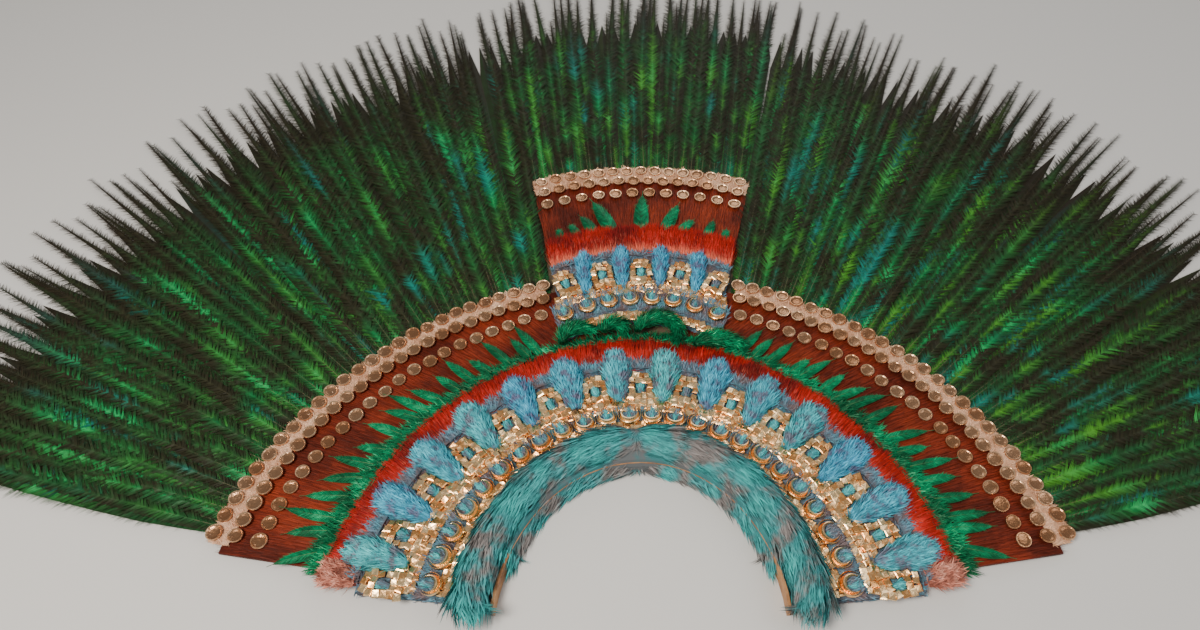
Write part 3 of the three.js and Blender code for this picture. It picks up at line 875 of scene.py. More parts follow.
PLUME_LOOK = plume_material()
BROWN_LOOK = feather_material(
    "red-brown feathers",
    (0.15, 0.018, 0.006), (0.24, 0.030, 0.008), (0.06, 0.008, 0.003), (0.08, 0.010, 0.004), 14.0,
    (0.7, 0.8, 0.25), 0.55
)
RED_LOOK = feather_material(
    "scarlet feathers",
    (0.34, 0.008, 0.005), (0.60, 0.022, 0.010), (0.11, 0.004, 0.003), (0.85, 0.20, 0.11), 24.0,
    (0.6, 0.8, 0.8), 0.6
)
BLUE_LOOK = feather_material(
    "turquoise feathers",
    (0.07, 0.46, 0.50), (0.14, 0.66, 0.68), (0.19, 0.17, 0.22), (0.07, 0.26, 0.38), 72.0,
    (0.85, 0.9, 0.35), 0.7
)
FLUFF_LOOK = feather_material(
    "blue-grey down", (0.13, 0.22, 0.30), (0.08, 0.36, 0.46), (0.20, 0.12, 0.11), (0.10, 0.07, 0.07), 70.0,
    (0.7, 0.8, 0.5), 0.75
)
ROLL_LOOK = feather_material(
    "roll feathers", (0.06, 0.28, 0.29), (0.05, 0.42, 0.40), (0.25, 0.17, 0.16), (0.05, 0.12, 0.15), 30.0,
    (0.9, 0.8, 0.4), 0.65
)
GREEN_LOOK = feather_material(
    "emerald feathers",
    (0.003, 0.17, 0.065), (0.004, 0.40, 0.16), (0.004, 0.05, 0.018), (0.003, 0.05, 0.02), 40.0,
    (0.8, 0.6, 0.4), 0.4, Metallic=0.15
)
PALE_LOOK = feather_material(
    "pale down", (0.80, 0.50, 0.32), (0.92, 0.66, 0.47), (0.48, 0.22, 0.12), (0.62, 0.35, 0.21), 60.0,
    (0.6, 0.5, 0.2), 0.8
)
GOLD_LOOK = gold_material("pale gold", (1.0, 0.71, 0.38), (0.80, 0.38, 0.13), 90.0)
PINK_LOOK = feather_material(
    "pink down", (0.62, 0.24, 0.17), (0.80, 0.42, 0.32), (0.22, 0.07, 0.05), (0.30, 0.08, 0.05), 90.0,
    (0.8, 0.8, 0.4), 0.8
)
CRESCENT_LOOK = gold_material("polished gold", (1.0, 0.74, 0.42), (0.95, 0.58, 0.27), 50.0, 0.15)
DISC_LOOK = gold_material("copper gold", (0.98, 0.66, 0.40), (0.70, 0.36, 0.18), 60.0, 0.5)
LEATHER_LOOK = leather_material()
CLOTH_LOOK = cloth_material()

# ---- Small forms that the trees repeat -----------------------------------------------------------


def strand_form():
    """A single hair-like barb."""
    points = [(-0.5, 0, 0), (0.5, 0, 0), (0.42, 0.55, 0.05), (-0.42, 0.55, 0.05), (0, 1, 0.0)]
    return make_mesh("strand", points, [(0, 1, 2, 3), (3, 2, 4)], reach=[p[1] for p in points])


def barb_form(breadth, lean, count):
    """Hair-fine barbs on both sides of the shaft, of unit length across. lean is how far forward their tips
    are."""
    points, faces = [], []
    for side in (-1, 1):
        for k in range(count):
            base, start, far = len(points), 0.12 * k, 1 - 0.12 * k
            points += [(0, start, 0.05), (0, start + breadth, 0.05), (side * far, start + lean * far, -0.1)]
            faces.append((base, base + 2, base + 1) if side > 0 else (base, base + 1, base + 2))
    return make_mesh("barbs", points, faces, reach=[abs(p[0]) for p in points])


def turned_form(name, profile, sides, dished=0.0):
    """A form turned round Z from (radius, height) pairs, from its outer foot to its middle. The dish column
    is 1 within the radius dished."""
    points, faces = [], []
    for radius, height in profile[:-1]:
        for k in range(sides):
            turn = 2 * math.pi * k / sides
            points.append((radius * math.cos(turn), radius * math.sin(turn), height))
    points.append((0, 0, profile[-1][1]))
    for row in range(len(profile) - 2):
        for k in range(sides):
            a, b = row * sides + k, row * sides + (k + 1) % sides
            faces.append((a, b, b + sides, a + sides))
    last = (len(profile) - 2) * sides
    for k in range(sides):
        faces.append((last + k, last + (k + 1) % sides, len(points) - 1))
    faces.append(tuple(range(sides))[::-1])
    return make_mesh(name, points, faces, dish=[float(math.hypot(p[0], p[1]) < dished) for p in points])


def disc_form():
    """A thin gold disc of unit radius: a rolled rim, a dish, and a low boss in the middle."""
    profile = ((1.0, -0.10), (1.03, 0.04), (0.97, 0.15), (0.88, 0.15), (0.78, 0.05), (0.5, -0.02), (0, -0.04))
    return turned_form("disc", profile, 18, dished=0.82)


def plate_form():
    """A small gold plate of unit size with turned-down edges."""
    points = [(x * s, y * s, z) for s, z in ((0.5, -0.14), (0.5, 0.06), (0.36, 0.16)) for x, y in
              ((-1, -1), (1, -1), (1, 1), (-1, 1))]
    points.append((0, 0, 0.13))
    faces = [(3, 2, 1, 0)]
    for row in (0, 4):
        faces += [(row + k, row + (k + 1) % 4, row + 4 + (k + 1) % 4, row + 4 + k) for k in range(4)]
    faces += [(8 + k, 8 + (k + 1) % 4, 12) for k in range(4)]
    return make_mesh("plate", points, faces)


def crescent_form():
    """A crescent of unit radius that opens towards +Y: an inner horned moon inside a thin raised rim."""
    points, faces = [], []
    steps = 20

    def moon(reach_outer, waist, sweep, heights):
        base = len(points)
        rows = len(heights)
        for k in range(steps + 1):
            turn = math.radians(mix(-sweep, sweep, k / steps))
            width = waist * max(math.cos(turn * 90 / sweep), 0.06)
            for row, height in enumerate(heights):
                reach = reach_outer - width * row / (rows - 1)
                rise = height * (0.35 + 0.65 * width / waist)
                points.append((reach * math.sin(turn), -reach * math.cos(turn), rise))
        for k in range(steps):
            for row in range(rows):
                a, b = base + k * rows + row, base + k * rows + (row + 1) % rows
                faces.append((a, a + rows, b + rows, b))
        faces.append(tuple(base + row for row in range(rows)))
        faces.append(tuple(base + steps * rows + row for row in range(rows))[::-1])

    moon(1.0, 0.15, 155, (-0.06, 0.18, 0.22, -0.06))
    moon(0.83, 0.56, 142, (-0.06, 0.14, 0.30, 0.28, 0.10, -0.06))
    return make_mesh("crescent", points, faces)


STRAND = strand_form()
WIDE_BARBS = barb_form(0.12, 1.1, 2)
CLOSE_BARBS = barb_form(0.30, 1.5, 1)
DISC, PLATE, CRESCENT = disc_form(), plate_form(), crescent_form()
FORMS = (STRAND, WIDE_BARBS, CLOSE_BARBS, DISC, PLATE, CRESCENT)


# The small feathers of each soft piece: look, feathers per square metre, length and width in mm, how far they
# lift and stray, seed, and how far up a face looks where they grow (-1 everywhere, 0.5 on the top only).
ALL_ROUND, NOT_BELOW, TOP_ONLY = -0.35, -0.1, 0.5
COATS = {
    "red_band": (RED_LOOK, 420000, 22, 1.0, 0.13, 0.15, 2, NOT_BELOW),
    "red_fringe_crest": (RED_LOOK, 620000, 24, 0.9, 0.2, 0.25, 17, NOT_BELOW),
    "pink_down": (PINK_LOOK, 560000, 11, 1.0, 0.4, 0.8, 20, ALL_ROUND),
    "green_ring": (GREEN_LOOK, 420000, 13, 1.1, 0.35, 0.6, 3, NOT_BELOW),
    "green_curl_feathers": (GREEN_LOOK, 650000, 12, 1.0, 0.45, 0.5, 19, ALL_ROUND),
    "brown_feathers_left": (BROWN_LOOK, 170000, 34, 1.2, 0.02, 0.07, 4, TOP_ONLY),
    "brown_feathers_right": (BROWN_LOOK, 170000, 34, 1.2, 0.02, 0.07, 6, TOP_ONLY),
    "brown_feathers_crest": (BROWN_LOOK, 170000, 34, 1.2, 0.02, 0.07, 16, TOP_ONLY),
    "border_left": (PALE_LOOK, 420000, 4.5, 0.7, 0.5, 1.2, 9, NOT_BELOW),
    "border_right": (PALE_LOOK, 420000, 4.5, 0.7, 0.5, 1.2, 9, NOT_BELOW),
    "border_crest": (PALE_LOOK, 420000, 4.5, 0.7, 0.5, 1.2, 18, NOT_BELOW),
    "rim_roll_feathers": (ROLL_LOOK, 430000, 25, 1.9, 0.14, 0.3, 6, ALL_ROUND),
    "blue_tufts_collar": (BLUE_LOOK, 520000, 13, 1.3, 0.35, 0.5, 7, ALL_ROUND),
    "blue_tufts_crest": (BLUE_LOOK, 520000, 11, 1.2, 0.35, 0.5, 8, ALL_ROUND),
    "blue_eyes": (BLUE_LOOK, 700000, 5, 0.9, 0.3, 0.5, 13, ALL_ROUND),
    "blue_down_collar": (FLUFF_LOOK, 420000, 9, 1.1, 0.35, 0.6, 11, NOT_BELOW),
    "blue_down_crest": (FLUFF_LOOK, 420000, 9, 1.1, 0.35, 0.6, 12, NOT_BELOW),
    "gold_bed_collar": (FLUFF_LOOK, 90000, 7, 1.4, 0.12, 0.8, 14, NOT_BELOW),
    "gold_bed_crest": (FLUFF_LOOK, 90000, 7, 1.4, 0.12, 0.8, 15, NOT_BELOW),
}
BASE_TONE, BASE_REACH = 0.15, 0.1


def plumage(name, form):
    """A soft piece: a base form with small feathers all over it."""
    look, density, length, width, lift, stray, seed, facing = COATS[name]
    count = len(form.points)
    even = {"tone": [BASE_TONE] * count, "reach": [BASE_REACH] * count}
    base = make_mesh(name, form.points, form.faces, flow=form.flow, tint=form.tint, **even)
    return grow(
        base,
        PLUMAGE,
        Strand=STRAND,
        Density=density,
        Length=length * MM,
        Width=width * MM,
        Lift=lift,
        Stray=stray,
        Facing=facing,
        Seed=seed,
        Material=look,
    )


def ornaments(name, form, look, rows, tilt, seed=1):
    """Ornaments of one form. rows are (place, turn in degrees, size), size one number or three, in mm."""
    sizes = [size if isinstance(size, tuple) else (size,) * 3 for _, _, size in rows]
    base = make_mesh(
        name,
        [place for place, _, _ in rows],
        turn=[-math.radians(turn) for _, turn, _ in rows],
        size=[Vector(size) * MM for size in sizes],
    )
    return grow(base, ORNAMENTS, Ornament=form, Tilt=tilt, Seed=seed, Material=look)


# ---- The plumes ----------------------------------------------------------------------------------


CROWN_SHARE, TAPER_SHARE = 0.4, 0.6  # where a plume stands highest, and where its vane starts to narrow


def shaft_lines(name, strands):
    """Lines with the columns that the plume tree reads. A strand is its tint and (place, half vane) marks."""
    points, edges, half_vane, shade, along = [], [], [], [], []
    for tint, marks in strands:
        for k, (place, half) in enumerate(marks):
            if k:
                edges.append((len(points) - 1, len(points)))
            points.append(place)
            half_vane.append(half)
            shade.append(tint)
            along.append(k / (len(marks) - 1))
    return make_mesh(name, points, edges=edges, half_vane=half_vane, shade=shade, along=along)


def plume_strands(rows):
    """Each row has a root, a tip, a half vane in mm, heights, a sideways bow and a tint."""
    steps = 9
    strands = []
    for root, tip, width, low, high, end, bow, tint in rows:
        side = (tip - root).cross(Vector((0, 0, 1)))
        marks = []
        for k in range(steps + 1):
            share = k / steps
            at = root.lerp(tip, share) + side * bow * math.sin(math.pi * share)
            if share < CROWN_SHARE:
                rise = mix(low, high, math.sin(math.pi * min(share * 1.6, 1) / 2))
            else:
                rise = mix(high, end, (share - CROWN_SHARE) / (1 - CROWN_SHARE))
            if share < TAPER_SHARE:
                taper = 0.55 + 0.45 * min(share * 5, 1)
            else:
                taper = 1 - 0.66 * ((share - TAPER_SHARE) / (1 - TAPER_SHARE)) ** 1.3
            marks.append((lifted(at, rise), width * MM * taper))
        strands.append((tint, marks))
    return strands


def fan_web(root, angles, count, shortfall):
    """The closed underlayer of a fan: plumes fused together, parted at their tips."""
    first, last = angles

    def place(column, share):
        across = column / (2 * count)
        angle = mix(first, last, across)
        reach = np.interp(abs(angle), PLUME_REACH["angle"], PLUME_REACH["reach"]) * shortfall
        return root(across).lerp(at_radius(reach, angle), share * (1 if column % 2 else 0.86))

    shares, tops = (0, 0.3, 0.7, 1), (3.2, 4.2, 3.6, 2.2)
    top = lambda c, r: tops[r] + (0.6 if c % 2 else 0)
    form = sheet(2 * count, shares, place, top, FLOOR_GAP / MM)
    along = [share for _ in range(2 * count + 1) for share in shares for _ in range(2)]
    shade = [((c // 2 * 37) % 101) / 101 for c in range(2 * count + 1) for _ in range(8)]
    return form, along, shade


def plumes(name, root, angles, layers, web_count, seed):
    """One group of plumes. Each layer is (count, share of the full reach, spread of that share, vane, low,
    high)."""
    chance = random.Random(seed)
    first, last = angles
    rows = []
    for count, share, vary, vane, low, high in layers:
        for k in range(count):
            across = (k + 0.5 + chance.uniform(-0.45, 0.45)) / count
            across = min(max(across, 0.012), 0.988)
            angle = mix(first, last, across) + chance.uniform(-0.7, 0.7)
            angle = min(max(angle, min(first, last) + 0.3), max(first, last) - 0.3)
            reach = np.interp(abs(angle), PLUME_REACH["angle"], PLUME_REACH["reach"])
            start = root(across)
            tip = at_radius(reach, angle)
            tip = start.lerp(tip, share - chance.uniform(0, vary))
            rise = chance.uniform(-1, 1)
            rows.append(
                (
                    start,
                    tip,
                    vane * chance.uniform(0.8, 1.15),
                    low + rise * 0.4,
                    high + rise * 1.6,
                    3.0 + chance.uniform(0, 2.5),
                    chance.uniform(-0.012, 0.012),
                    chance.random(),
                )
            )
    vanes = grow(
        shaft_lines(name + "_vanes", plume_strands(rows)),
        PLUMES,
        Barbs=WIDE_BARBS,
        Pitch=0.0029,
        Vane=0.62,
        Shaft=0.0009,
        Stray=0.34,
        Seed=seed,
        Material=PLUME_LOOK,
    )
    form, along, shade = fan_web(root, angles, web_count, 0.88)
    web = make_mesh(name + "_web", form.points, form.faces, along=along, shade=shade)
    web.data.materials.append(PLUME_LOOK)
    return join(name, vanes, web)


def all_plumes():
    inner, outer = flank_angle("plume_root"), END_ANGLE["plume"]
    wing_layers = (
        (66, 1.0, 0.10, 16, 3.6, 6.0),
        (52, 0.95, 0.25, 15, 4.6, 9.0),
        (44, 0.62, 0.35, 14, 5.4, 11.0),
    )
    crest_layers = (
        (26, 1.0, 0.08, 16, 3.6, 6.0),
        (22, 0.95, 0.2, 15, 4.6, 9.0),
        (18, 0.62, 0.3, 14, 5.4, 11.0),
    )
    left = lambda across: on_ring("plume_root", mix(-outer, -inner, across))
    right = lambda across: on_ring("plume_root", mix(inner, outer, across))
    crest = lambda across: on_crest(CREST["plume_root"], mix(-1, 1, across))
    edge = CREST_EDGE + 0.2
    return (
        plumes("plumes_left", left, (-outer, -edge), wing_layers, 60, 3),
        plumes("plumes_right", right, (edge, outer), wing_layers, 60, 8),
        plumes("plumes_crest", crest, (-CREST_EDGE, CREST_EDGE), crest_layers, 24, 5),
    )


# ---- Bands of the collar -------------------------------------------------------------------------


def red_band():
    end, profile = END_ANGLE["red"], ((0, 12.5), (0.4, 13.5), (1, 10))
    fray = {"notch": 0.9, "ragged": 0.12, "seed": 1, "short": 0.45}
    form = collar_band("red_inner", "red_outer", -end, end, 150, LAYER_FOOT, profile, **fray)
    return plumage("red_band", form)


def green_ring():
    end, profile = END_ANGLE["green"], ((0, 10.5), (1, 8.5))
    fray = {"notch": 0.8, "ragged": 0.2, "seed": 2}
    form = collar_band("green_inner", "green_outer", -end, end, 150, LAYER_FOOT, profile, **fray)
    return plumage("green_ring", form)


BLADE_LEAN = 20
BLADE_ROOT = 4  # how far the blades start behind their place
BLADE_LENGTHS = (49, 40, 46, 34, 48, 38, 44)


def blades(name, rows, foot):
    """Short emerald feathers. rows are (place, angle, length, width) in mm and degrees, foot their height."""
    steps = 8
    strands = []
    chance = random.Random(12)
    for place, angle, length, width in rows:
        ahead = heading(angle)
        bend = beside(ahead) * chance.uniform(-0.1, 0.1) * length * MM
        tint = chance.random()
        marks = []
        for k in range(steps + 1):
            share = k / steps
            at = place + ahead * (length * share - BLADE_ROOT) * MM + bend * share**2
            oval = max(math.sin(math.pi * min(share * 0.9 + 0.22, 1)) ** 0.8, 0.05)
            marks.append((lifted(at, foot + 1.6 * math.sin(math.pi * share)), width / 2 * MM * oval))
        strands.append((tint, marks))
    shape = {"Pitch": 0.0008, "Vane": 1.0, "Wisp": 0.0, "Shaft": 0.0006, "Stray": 0.1, "Seed": 4}
    return grow(shaft_lines(name, strands), PLUMES, Barbs=CLOSE_BARBS, Material=GREEN_LOOK, **shape)


def collar_blades():
    rows = []
    chance = random.Random(6)
    for side in (-1, 1):
        for k, angle in enumerate(spread(17, 20.5, 78)):
            angle += chance.uniform(-1.2, 1.2)
            length = BLADE_LENGTHS[k % len(BLADE_LENGTHS)] * chance.uniform(0.9, 1.12)
            lean = BLADE_LEAN + chance.uniform(-8, 8)
            rows.append((on_ring("green_outer", side * angle), side * (angle + lean), length * 1.15, 12))
    return blades("collar_blades", rows, 11.5)


BROWN_PROFILE, BROWN_SHORT = ((0, 6.2), (0.5, 6.4), (0.8, 6.2), (1, 6.0)), 0.15
BORDER_FOOT, BORDER_PROFILE = BROWN_TOP + 0.3, ((0, 8.6), (0.5, 9.2), (1, 8.2))


def brown_band(side, name):
    inner = flank_angle("brown_outer") - 1.0
    start, end = (-END_ANGLE["brown"], -inner) if side < 0 else (inner, END_ANGLE["brown"])
    tops = {"profile": BROWN_PROFILE, "short": BROWN_SHORT, "slant": 8.5}
    form = collar_band("brown_inner", "brown_outer", start, end, 90, LAYER_FOOT, **tops)
    return plumage("brown_feathers_" + name, form)


def border_strip(side, name):
    inner = flank_angle("border_inner") + 0.5
    start, end = (-DISC_END - 0.2, -inner) if side < 0 else (inner, DISC_END + 0.2)
    fray = {"notch": 0.9, "ragged": 0.25, "seed": 7}
    form = collar_band("border_inner", "border_outer", start, end, 110, BORDER_FOOT, BORDER_PROFILE, **fray)
    return plumage("border_" + name, form)


DISC_ROWS = (("disc_inner", 21, 9.2), ("disc_middle", 25, 10.4), ("disc_outer", 26, 10.4))
CREST_DISC_ROWS = (("disc_inner", 12, 9.2), ("disc_middle", 14, 10.4), ("disc_outer", 15, 10.4))
DISC_RADIUS, DISC_ROOM, DISC_LIFT = 8.2, 9, 0.9


def disc_row(at, foot, chance):
    return lifted(at, foot + DISC_LIFT), chance.uniform(0, 360), DISC_RADIUS * chance.uniform(0.95, 1.06)


def disc_rows(side):
    """The three rows of discs on one side, as ornament rows."""
    chance = random.Random(20 + side)
    rows = []
    for ring, count, foot in DISC_ROWS:
        half_disc = math.degrees(DISC_ROOM / RINGS[ring][0])
        for angle in spread(count, flank_angle(ring) + half_disc, DISC_END - half_disc):
            at = on_ring(ring, side * angle + chance.uniform(-0.12, 0.12), chance.uniform(-1.2, 1.2))
            rows.append(disc_row(at, foot, chance))
    return rows


HANGING_END = 66
ROLL_HALF_WIDTH, ROLL_HALF_HEIGHT, ROLL_MIDDLE = 17, 15.0, 21.8


def oval_section(middle, out, half, height, rise, sides):
    """Points round an upright oval: half is its half width along out and rise its half height, in mm."""
    section = []
    for corner in range(sides):
        turn = 2 * math.pi * corner / sides
        section.append(lifted(middle + out * (half * math.cos(turn)) * MM, height + rise * math.sin(turn)))
    return section


def downwards(out, angle, inward, rise):
    """The direction in which the roll's feathers lie: towards the arch's nearer end."""
    side = 1 if angle >= 0 else -1
    return (beside(out) * side - out * inward + Vector((0, 0, rise))).normalized()


def rim_roll():
    sides, locks = 12, 60
    sections, flows = [], []
    chance = random.Random(2)
    for k in range(locks + 1):
        angle = mix(-END_ANGLE["roll"], END_ANGLE["roll"], k / locks)
        at = on_ring("roll", angle)
        out = away(at)
        swell = chance.uniform(0.86, 1.0) * (0.7 if k in (0, locks) else 1)
        half, rise = ROLL_HALF_WIDTH * swell, ROLL_HALF_HEIGHT * swell
        sections.append(oval_section(at, out, half, ROLL_MIDDLE, rise, sides))
        flows.append(downwards(out, angle, 0.35, 0.1))
    form = merge(loft(sections, flows), hanging_locks())
    return plumage("rim_roll_feathers", form)


def hanging_locks():
    """The roll's inner feathers, which hang over the leather edge except near its ends."""
    sections, flows = [], []
    steps = 40
    for k in range(steps + 1):
        angle = mix(-HANGING_END, HANGING_END, k / steps)
        at = on_ring("arch", angle)
        out = away(at)
        fold = ((9, 27), (2, 21), (-2, 13), (-3, 5), (-1, 5), (3, 14), (8, 20), (12, 24))
        sections.append([lifted(at + out * reach * MM, height) for reach, height in fold][::-1])
        flows.append(downwards(out, angle, 0.3, -0.5))
    return loft(sections, flows)


# ---- Gold and blue -------------------------------------------------------------------------------

TUFT_SPAN, TUFT_COUNT = 76.5, 14
TUFT_ANGLES = spread(TUFT_COUNT, -TUFT_SPAN, TUFT_SPAN)
TOWER_ANGLES = [
    side * TUFT_SPAN * (TUFT_COUNT - 2) / (TUFT_COUNT - 1) for side in spread(TUFT_COUNT - 1, -1, 1)
]
END_TOWERS = [-82, 82]
CRESCENT_ANGLES = spread(24, -81, 81)
CREST_CRESCENTS_X = spread(8, -93, 93)
CREST_TOWERS_X = (-94, -49, 0, 49, 94)
CREST_TUFTS_X = (-72, -25, 25, 72)


def tuft_form(foot, tip, foot_width, full_width, height, seed, tint=0.0):
    """A pear-shaped base for one tuft."""
    along = (tip - foot).normalized()
    side = beside(along)
    profile = (
        (0, 0.0, 0.35),
        (0.2, 0.25, 0.7),
        (0.45, 0.65, 0.95),
        (0.7, 1.0, 1.0),
        (0.9, 0.85, 0.75),
        (1, 0.4, 0.35),
    )
    chance = random.Random(seed)
    sections = []
    for share, widening, rise in profile:
        at = foot.lerp(tip, share)
        half = mix(foot_width, full_width, widening) / 2 * chance.uniform(0.88, 1.08)
        ring = []
        for corner in range(8):
            turn = math.pi - math.pi * corner / 7
            point = at + side * half * math.cos(turn) * MM
            ring.append(lifted(point, BED_TOP + 0.4 + height * rise * math.sin(turn)))
        sections.append(ring)
    flows = [(along + Vector((0, 0, 0.15))).normalized()] * len(sections)
    return loft(sections, flows, tint)


def blue_tufts():
    forms = [
        tuft_form(
            on_ring("tuft_foot", angle, -4), on_ring("tuft_tip", angle, -12), 12, 30, 12, k, (k * 5 % 7) / 14
        )
        for k, angle in enumerate(TUFT_ANGLES)
    ]
    crest = [
        tuft_form(
            crest_at(CREST["tuft_foot"], x * 0.95),
            crest_at(CREST["tuft_tip"] - 8, x * 1.05),
            8, 16, 8, 40 + k, 0.45
        )
        for k, x in enumerate(CREST_TUFTS_X)
    ]
    return (
        plumage("blue_tufts_collar", merge(*forms)),
        plumage("blue_tufts_crest", merge(*crest)),
    )


def blue_down():
    """The blue-grey fringes: between the tufts, behind the crescents, and on the crest."""
    end, far = END_ANGLE["bed"], END_ANGLE["red"]
    low, high = BED_TOP + 0.1, BED_TOP + 0.3
    profile, fray = ((0, 15.5), (0.6, 15.5), (1, 14.2)), {"notch": 0.85, "ragged": 0.3, "seed": 3}
    fringe = collar_band("bed_outer", "blue_fringe_end", -far, far, 130, high, profile, **fray)
    profile, fray = ((0, 13.8), (1, 14.4)), {"notch": 0.9, "ragged": 0.2, "seed": 4}
    mid = collar_band("fluff_inner", "fluff_outer", -end, end, 90, low, profile, **fray)
    profile, fray = ((0, 15.2), (1, 14.2)), {"notch": 0.8, "ragged": 0.3, "seed": 5}
    crest_fringe = crest_band("blue_fringe", "bed_outer", 40, high, profile, **fray)
    crest_mid = crest_band("fluff_inner", "plates_middle", 30, low, ((0, 13.8), (1, 14.2)))
    return (
        plumage("blue_down_collar", merge(fringe, mid)),
        plumage("blue_down_crest", merge(crest_fringe, crest_mid)),
    )


def tower_plates(at, angle, chance):
    """Plates of one mosaic tower, round a hollow for its blue eye. The tower stands along its own angle."""
    ahead = heading(angle)
    side = beside(ahead)
    rows = []
    for j, y in enumerate(spread(6, -18, 18)):
        count = 4 if j < 5 else 3
        for x in spread(count, -(count - 1) * 3.4, (count - 1) * 3.4):
            if abs(x) < 5 and abs(y) < 8:
                continue
            place = at + side * (x + chance.uniform(-0.8, 0.8)) * MM
            place += ahead * (y + chance.uniform(-0.8, 0.8)) * MM
            size = chance.uniform(6.6, 8.6)
            height = 17.2 + chance.uniform(-0.8, 1.6)
            rows.append((lifted(place, height), angle + chance.uniform(-16, 16), size))
    return rows


PLATE_SIZE = 7.2


def plate_row(line, start, end, count, height, chance):
    rows = []
    for k in range(count):
        across = (k + 0.5) / count
        at = line(across, start, end)
        angle = math.degrees(math.atan2(at.x, at.y - ARCH_Y))
        place = at + Vector((chance.uniform(-0.8, 0.8), chance.uniform(-0.8, 0.8), 0)) * MM
        place = lifted(place, height + chance.uniform(-0.5, 0.9))
        angle += chance.uniform(-18, 18)
        rows.append((place, angle, PLATE_SIZE * chance.uniform(0.8, 1.25)))
    return rows


def shifted(name, out):
    return lambda across, start, end: on_ring(name, mix(start, end, across), out)


def gold_plates():
    chance = random.Random(33)
    end = END_ANGLE["bed"] - 0.5
    rows = []
    for angle in TOWER_ANGLES + END_TOWERS:
        rows += tower_plates(on_ring("towers", angle), angle, chance)
    for out, height in ((-2, 16.5), (4, 15.5)):
        rows += plate_row(shifted("plates_inner", out), -end, end, 92, height, chance)
    for out, height in ((-7, 15.8), (-1, 16.2), (5, 15.8), (11, 15.4)):
        rows += plate_row(shifted("plates_middle", out), -end, end, 104, height, chance)
    return ornaments("gold_plates_collar", PLATE, GOLD_LOOK, rows, 0.3, 2)


CREST_PLATE_ROWS = ((153, 15, 26), (159, 15, 27), (196, 15, 30), (202, 15.4, 31), (208, 15, 31))


def crest_plates():
    chance = random.Random(34)
    rows = []
    for x in CREST_TOWERS_X:
        at = crest_at(CREST["towers"] + 4, x)
        rows += tower_plates(at, crest_turn("towers", x), chance)
    for radius, height, count in CREST_PLATE_ROWS:
        line = lambda across, start, end, radius=radius: on_crest(radius, mix(start, end, across))
        rows += plate_row(line, -0.97, 0.97, count, height, chance)
    return ornaments("gold_plates_crest", PLATE, GOLD_LOOK, rows, 0.3, 3)


def eyes():
    """The small blue tufts in the towers and in the crescents."""
    forms = []
    chance = random.Random(9)

    def eye(at, angle, height, length, width):
        ahead = heading(angle) * length / 2 * MM
        forms.append(tuft_form(at - ahead, at + ahead, width * 0.6, width, height, chance.random()))

    for angle in TOWER_ANGLES + END_TOWERS:
        eye(on_ring("towers", angle), angle, 5.5, 13, 8)
    for angle in CRESCENT_ANGLES:
        eye(on_ring("crescents", angle, 3), angle, 4.5, 15, 6)
    for x in CREST_TOWERS_X:
        eye(crest_at(CREST["towers"] + 4, x), crest_turn("towers", x), 5.5, 13, 8)
    for x in CREST_CRESCENTS_X:
        eye(crest_at(CREST["crescents"] + 3, x), crest_turn("crescents", x), 4.5, 14, 6)
    return plumage("blue_eyes", merge(*forms))


LARGE_CRESCENT, SMALL_CRESCENT = 13.2, 11.6


def crescents():
    chance = random.Random(14)
    collar = [
        (
            lifted(on_ring("crescents", angle), 19.2),
            angle + chance.uniform(-14, 14),
            LARGE_CRESCENT if k % 2 else SMALL_CRESCENT,
        )
        for k, angle in enumerate(CRESCENT_ANGLES)
    ]
    crest = [
        (
            lifted(crest_at(CREST["crescents"], x), 19.0),
            crest_turn("crescents", x) + chance.uniform(-12, 12),
            SMALL_CRESCENT,
        )
        for x in CREST_CRESCENTS_X
    ]
    return (
        ornaments("gold_crescents_collar", CRESCENT, CRESCENT_LOOK, collar, 0.1, 4),
        ornaments("gold_crescents_crest", CRESCENT, CRESCENT_LOOK, crest, 0.1, 5),
    )


def gold_beds():
    """The feather-covered beds that the gold is sewn to."""
    end = END_ANGLE["bed"]
    profile = ((0, BED_TOP), (0.5, BED_TOP), (1, BED_TOP))
    collar = collar_band("bed_inner", "bed_outer", -end, end, 90, LAYER_FOOT, profile)
    crest = crest_band("bed_inner", "bed_outer", 24, LAYER_FOOT, profile)
    return (
        plumage("gold_bed_collar", collar),
        plumage("gold_bed_crest", crest),
    )


def end_down():
    """The pink-brown down at both ends of the red band."""
    forms = [
        tuft_form(
            on_ring("bed_outer", side * angle, 4), on_ring("green_inner", side * angle, -4), 10, 15, 6, 60
        )
        for side in (-1, 1)
        for angle in (80.6, 82.4)
    ]
    return plumage("pink_down", merge(*forms))


# ---- The crest panel -----------------------------------------------------------------------------

CREST_BLADES = (
    (-106, -14, 22, 11),
    (-84, -34, 26, 12),
    (-62, -30, 40, 14),
    (-38, -26, 66, 18),
    (0, 0, 70, 18),
    (32, 22, 56, 16),
    (52, 48, 32, 13),
    (88, 24, 34, 12),
    (110, 20, 24, 11),
)


def crest_bands():
    brown = crest_band("brown_inner", "brown_outer", 40, LAYER_FOOT, BROWN_PROFILE, short=BROWN_SHORT)
    profile = ((0, 11.6), (0.4, 14), (1, 10.6))
    fray = {"notch": 0.9, "ragged": 0.15, "seed": 6, "short": 0.3}
    red = crest_band("red_inner", "red_outer", 50, BROWN_TOP + 2.6, profile, **fray)
    fray = {"notch": 0.9, "ragged": 0.2, "seed": 8}
    strip = crest_band("border_inner", "border_outer", 50, BORDER_FOOT, BORDER_PROFILE, **fray)
    rows = [
        (crest_at(CREST["blades"], x), lean, length * 1.1, width * 1.1)
        for x, lean, length, width in CREST_BLADES
    ]
    return {
        "brown": plumage("brown_feathers_crest", brown),
        "red": plumage("red_fringe_crest", red),
        "border": plumage("border_crest", strip),
        "blades": blades("crest_blades", rows, 13.5),
    }


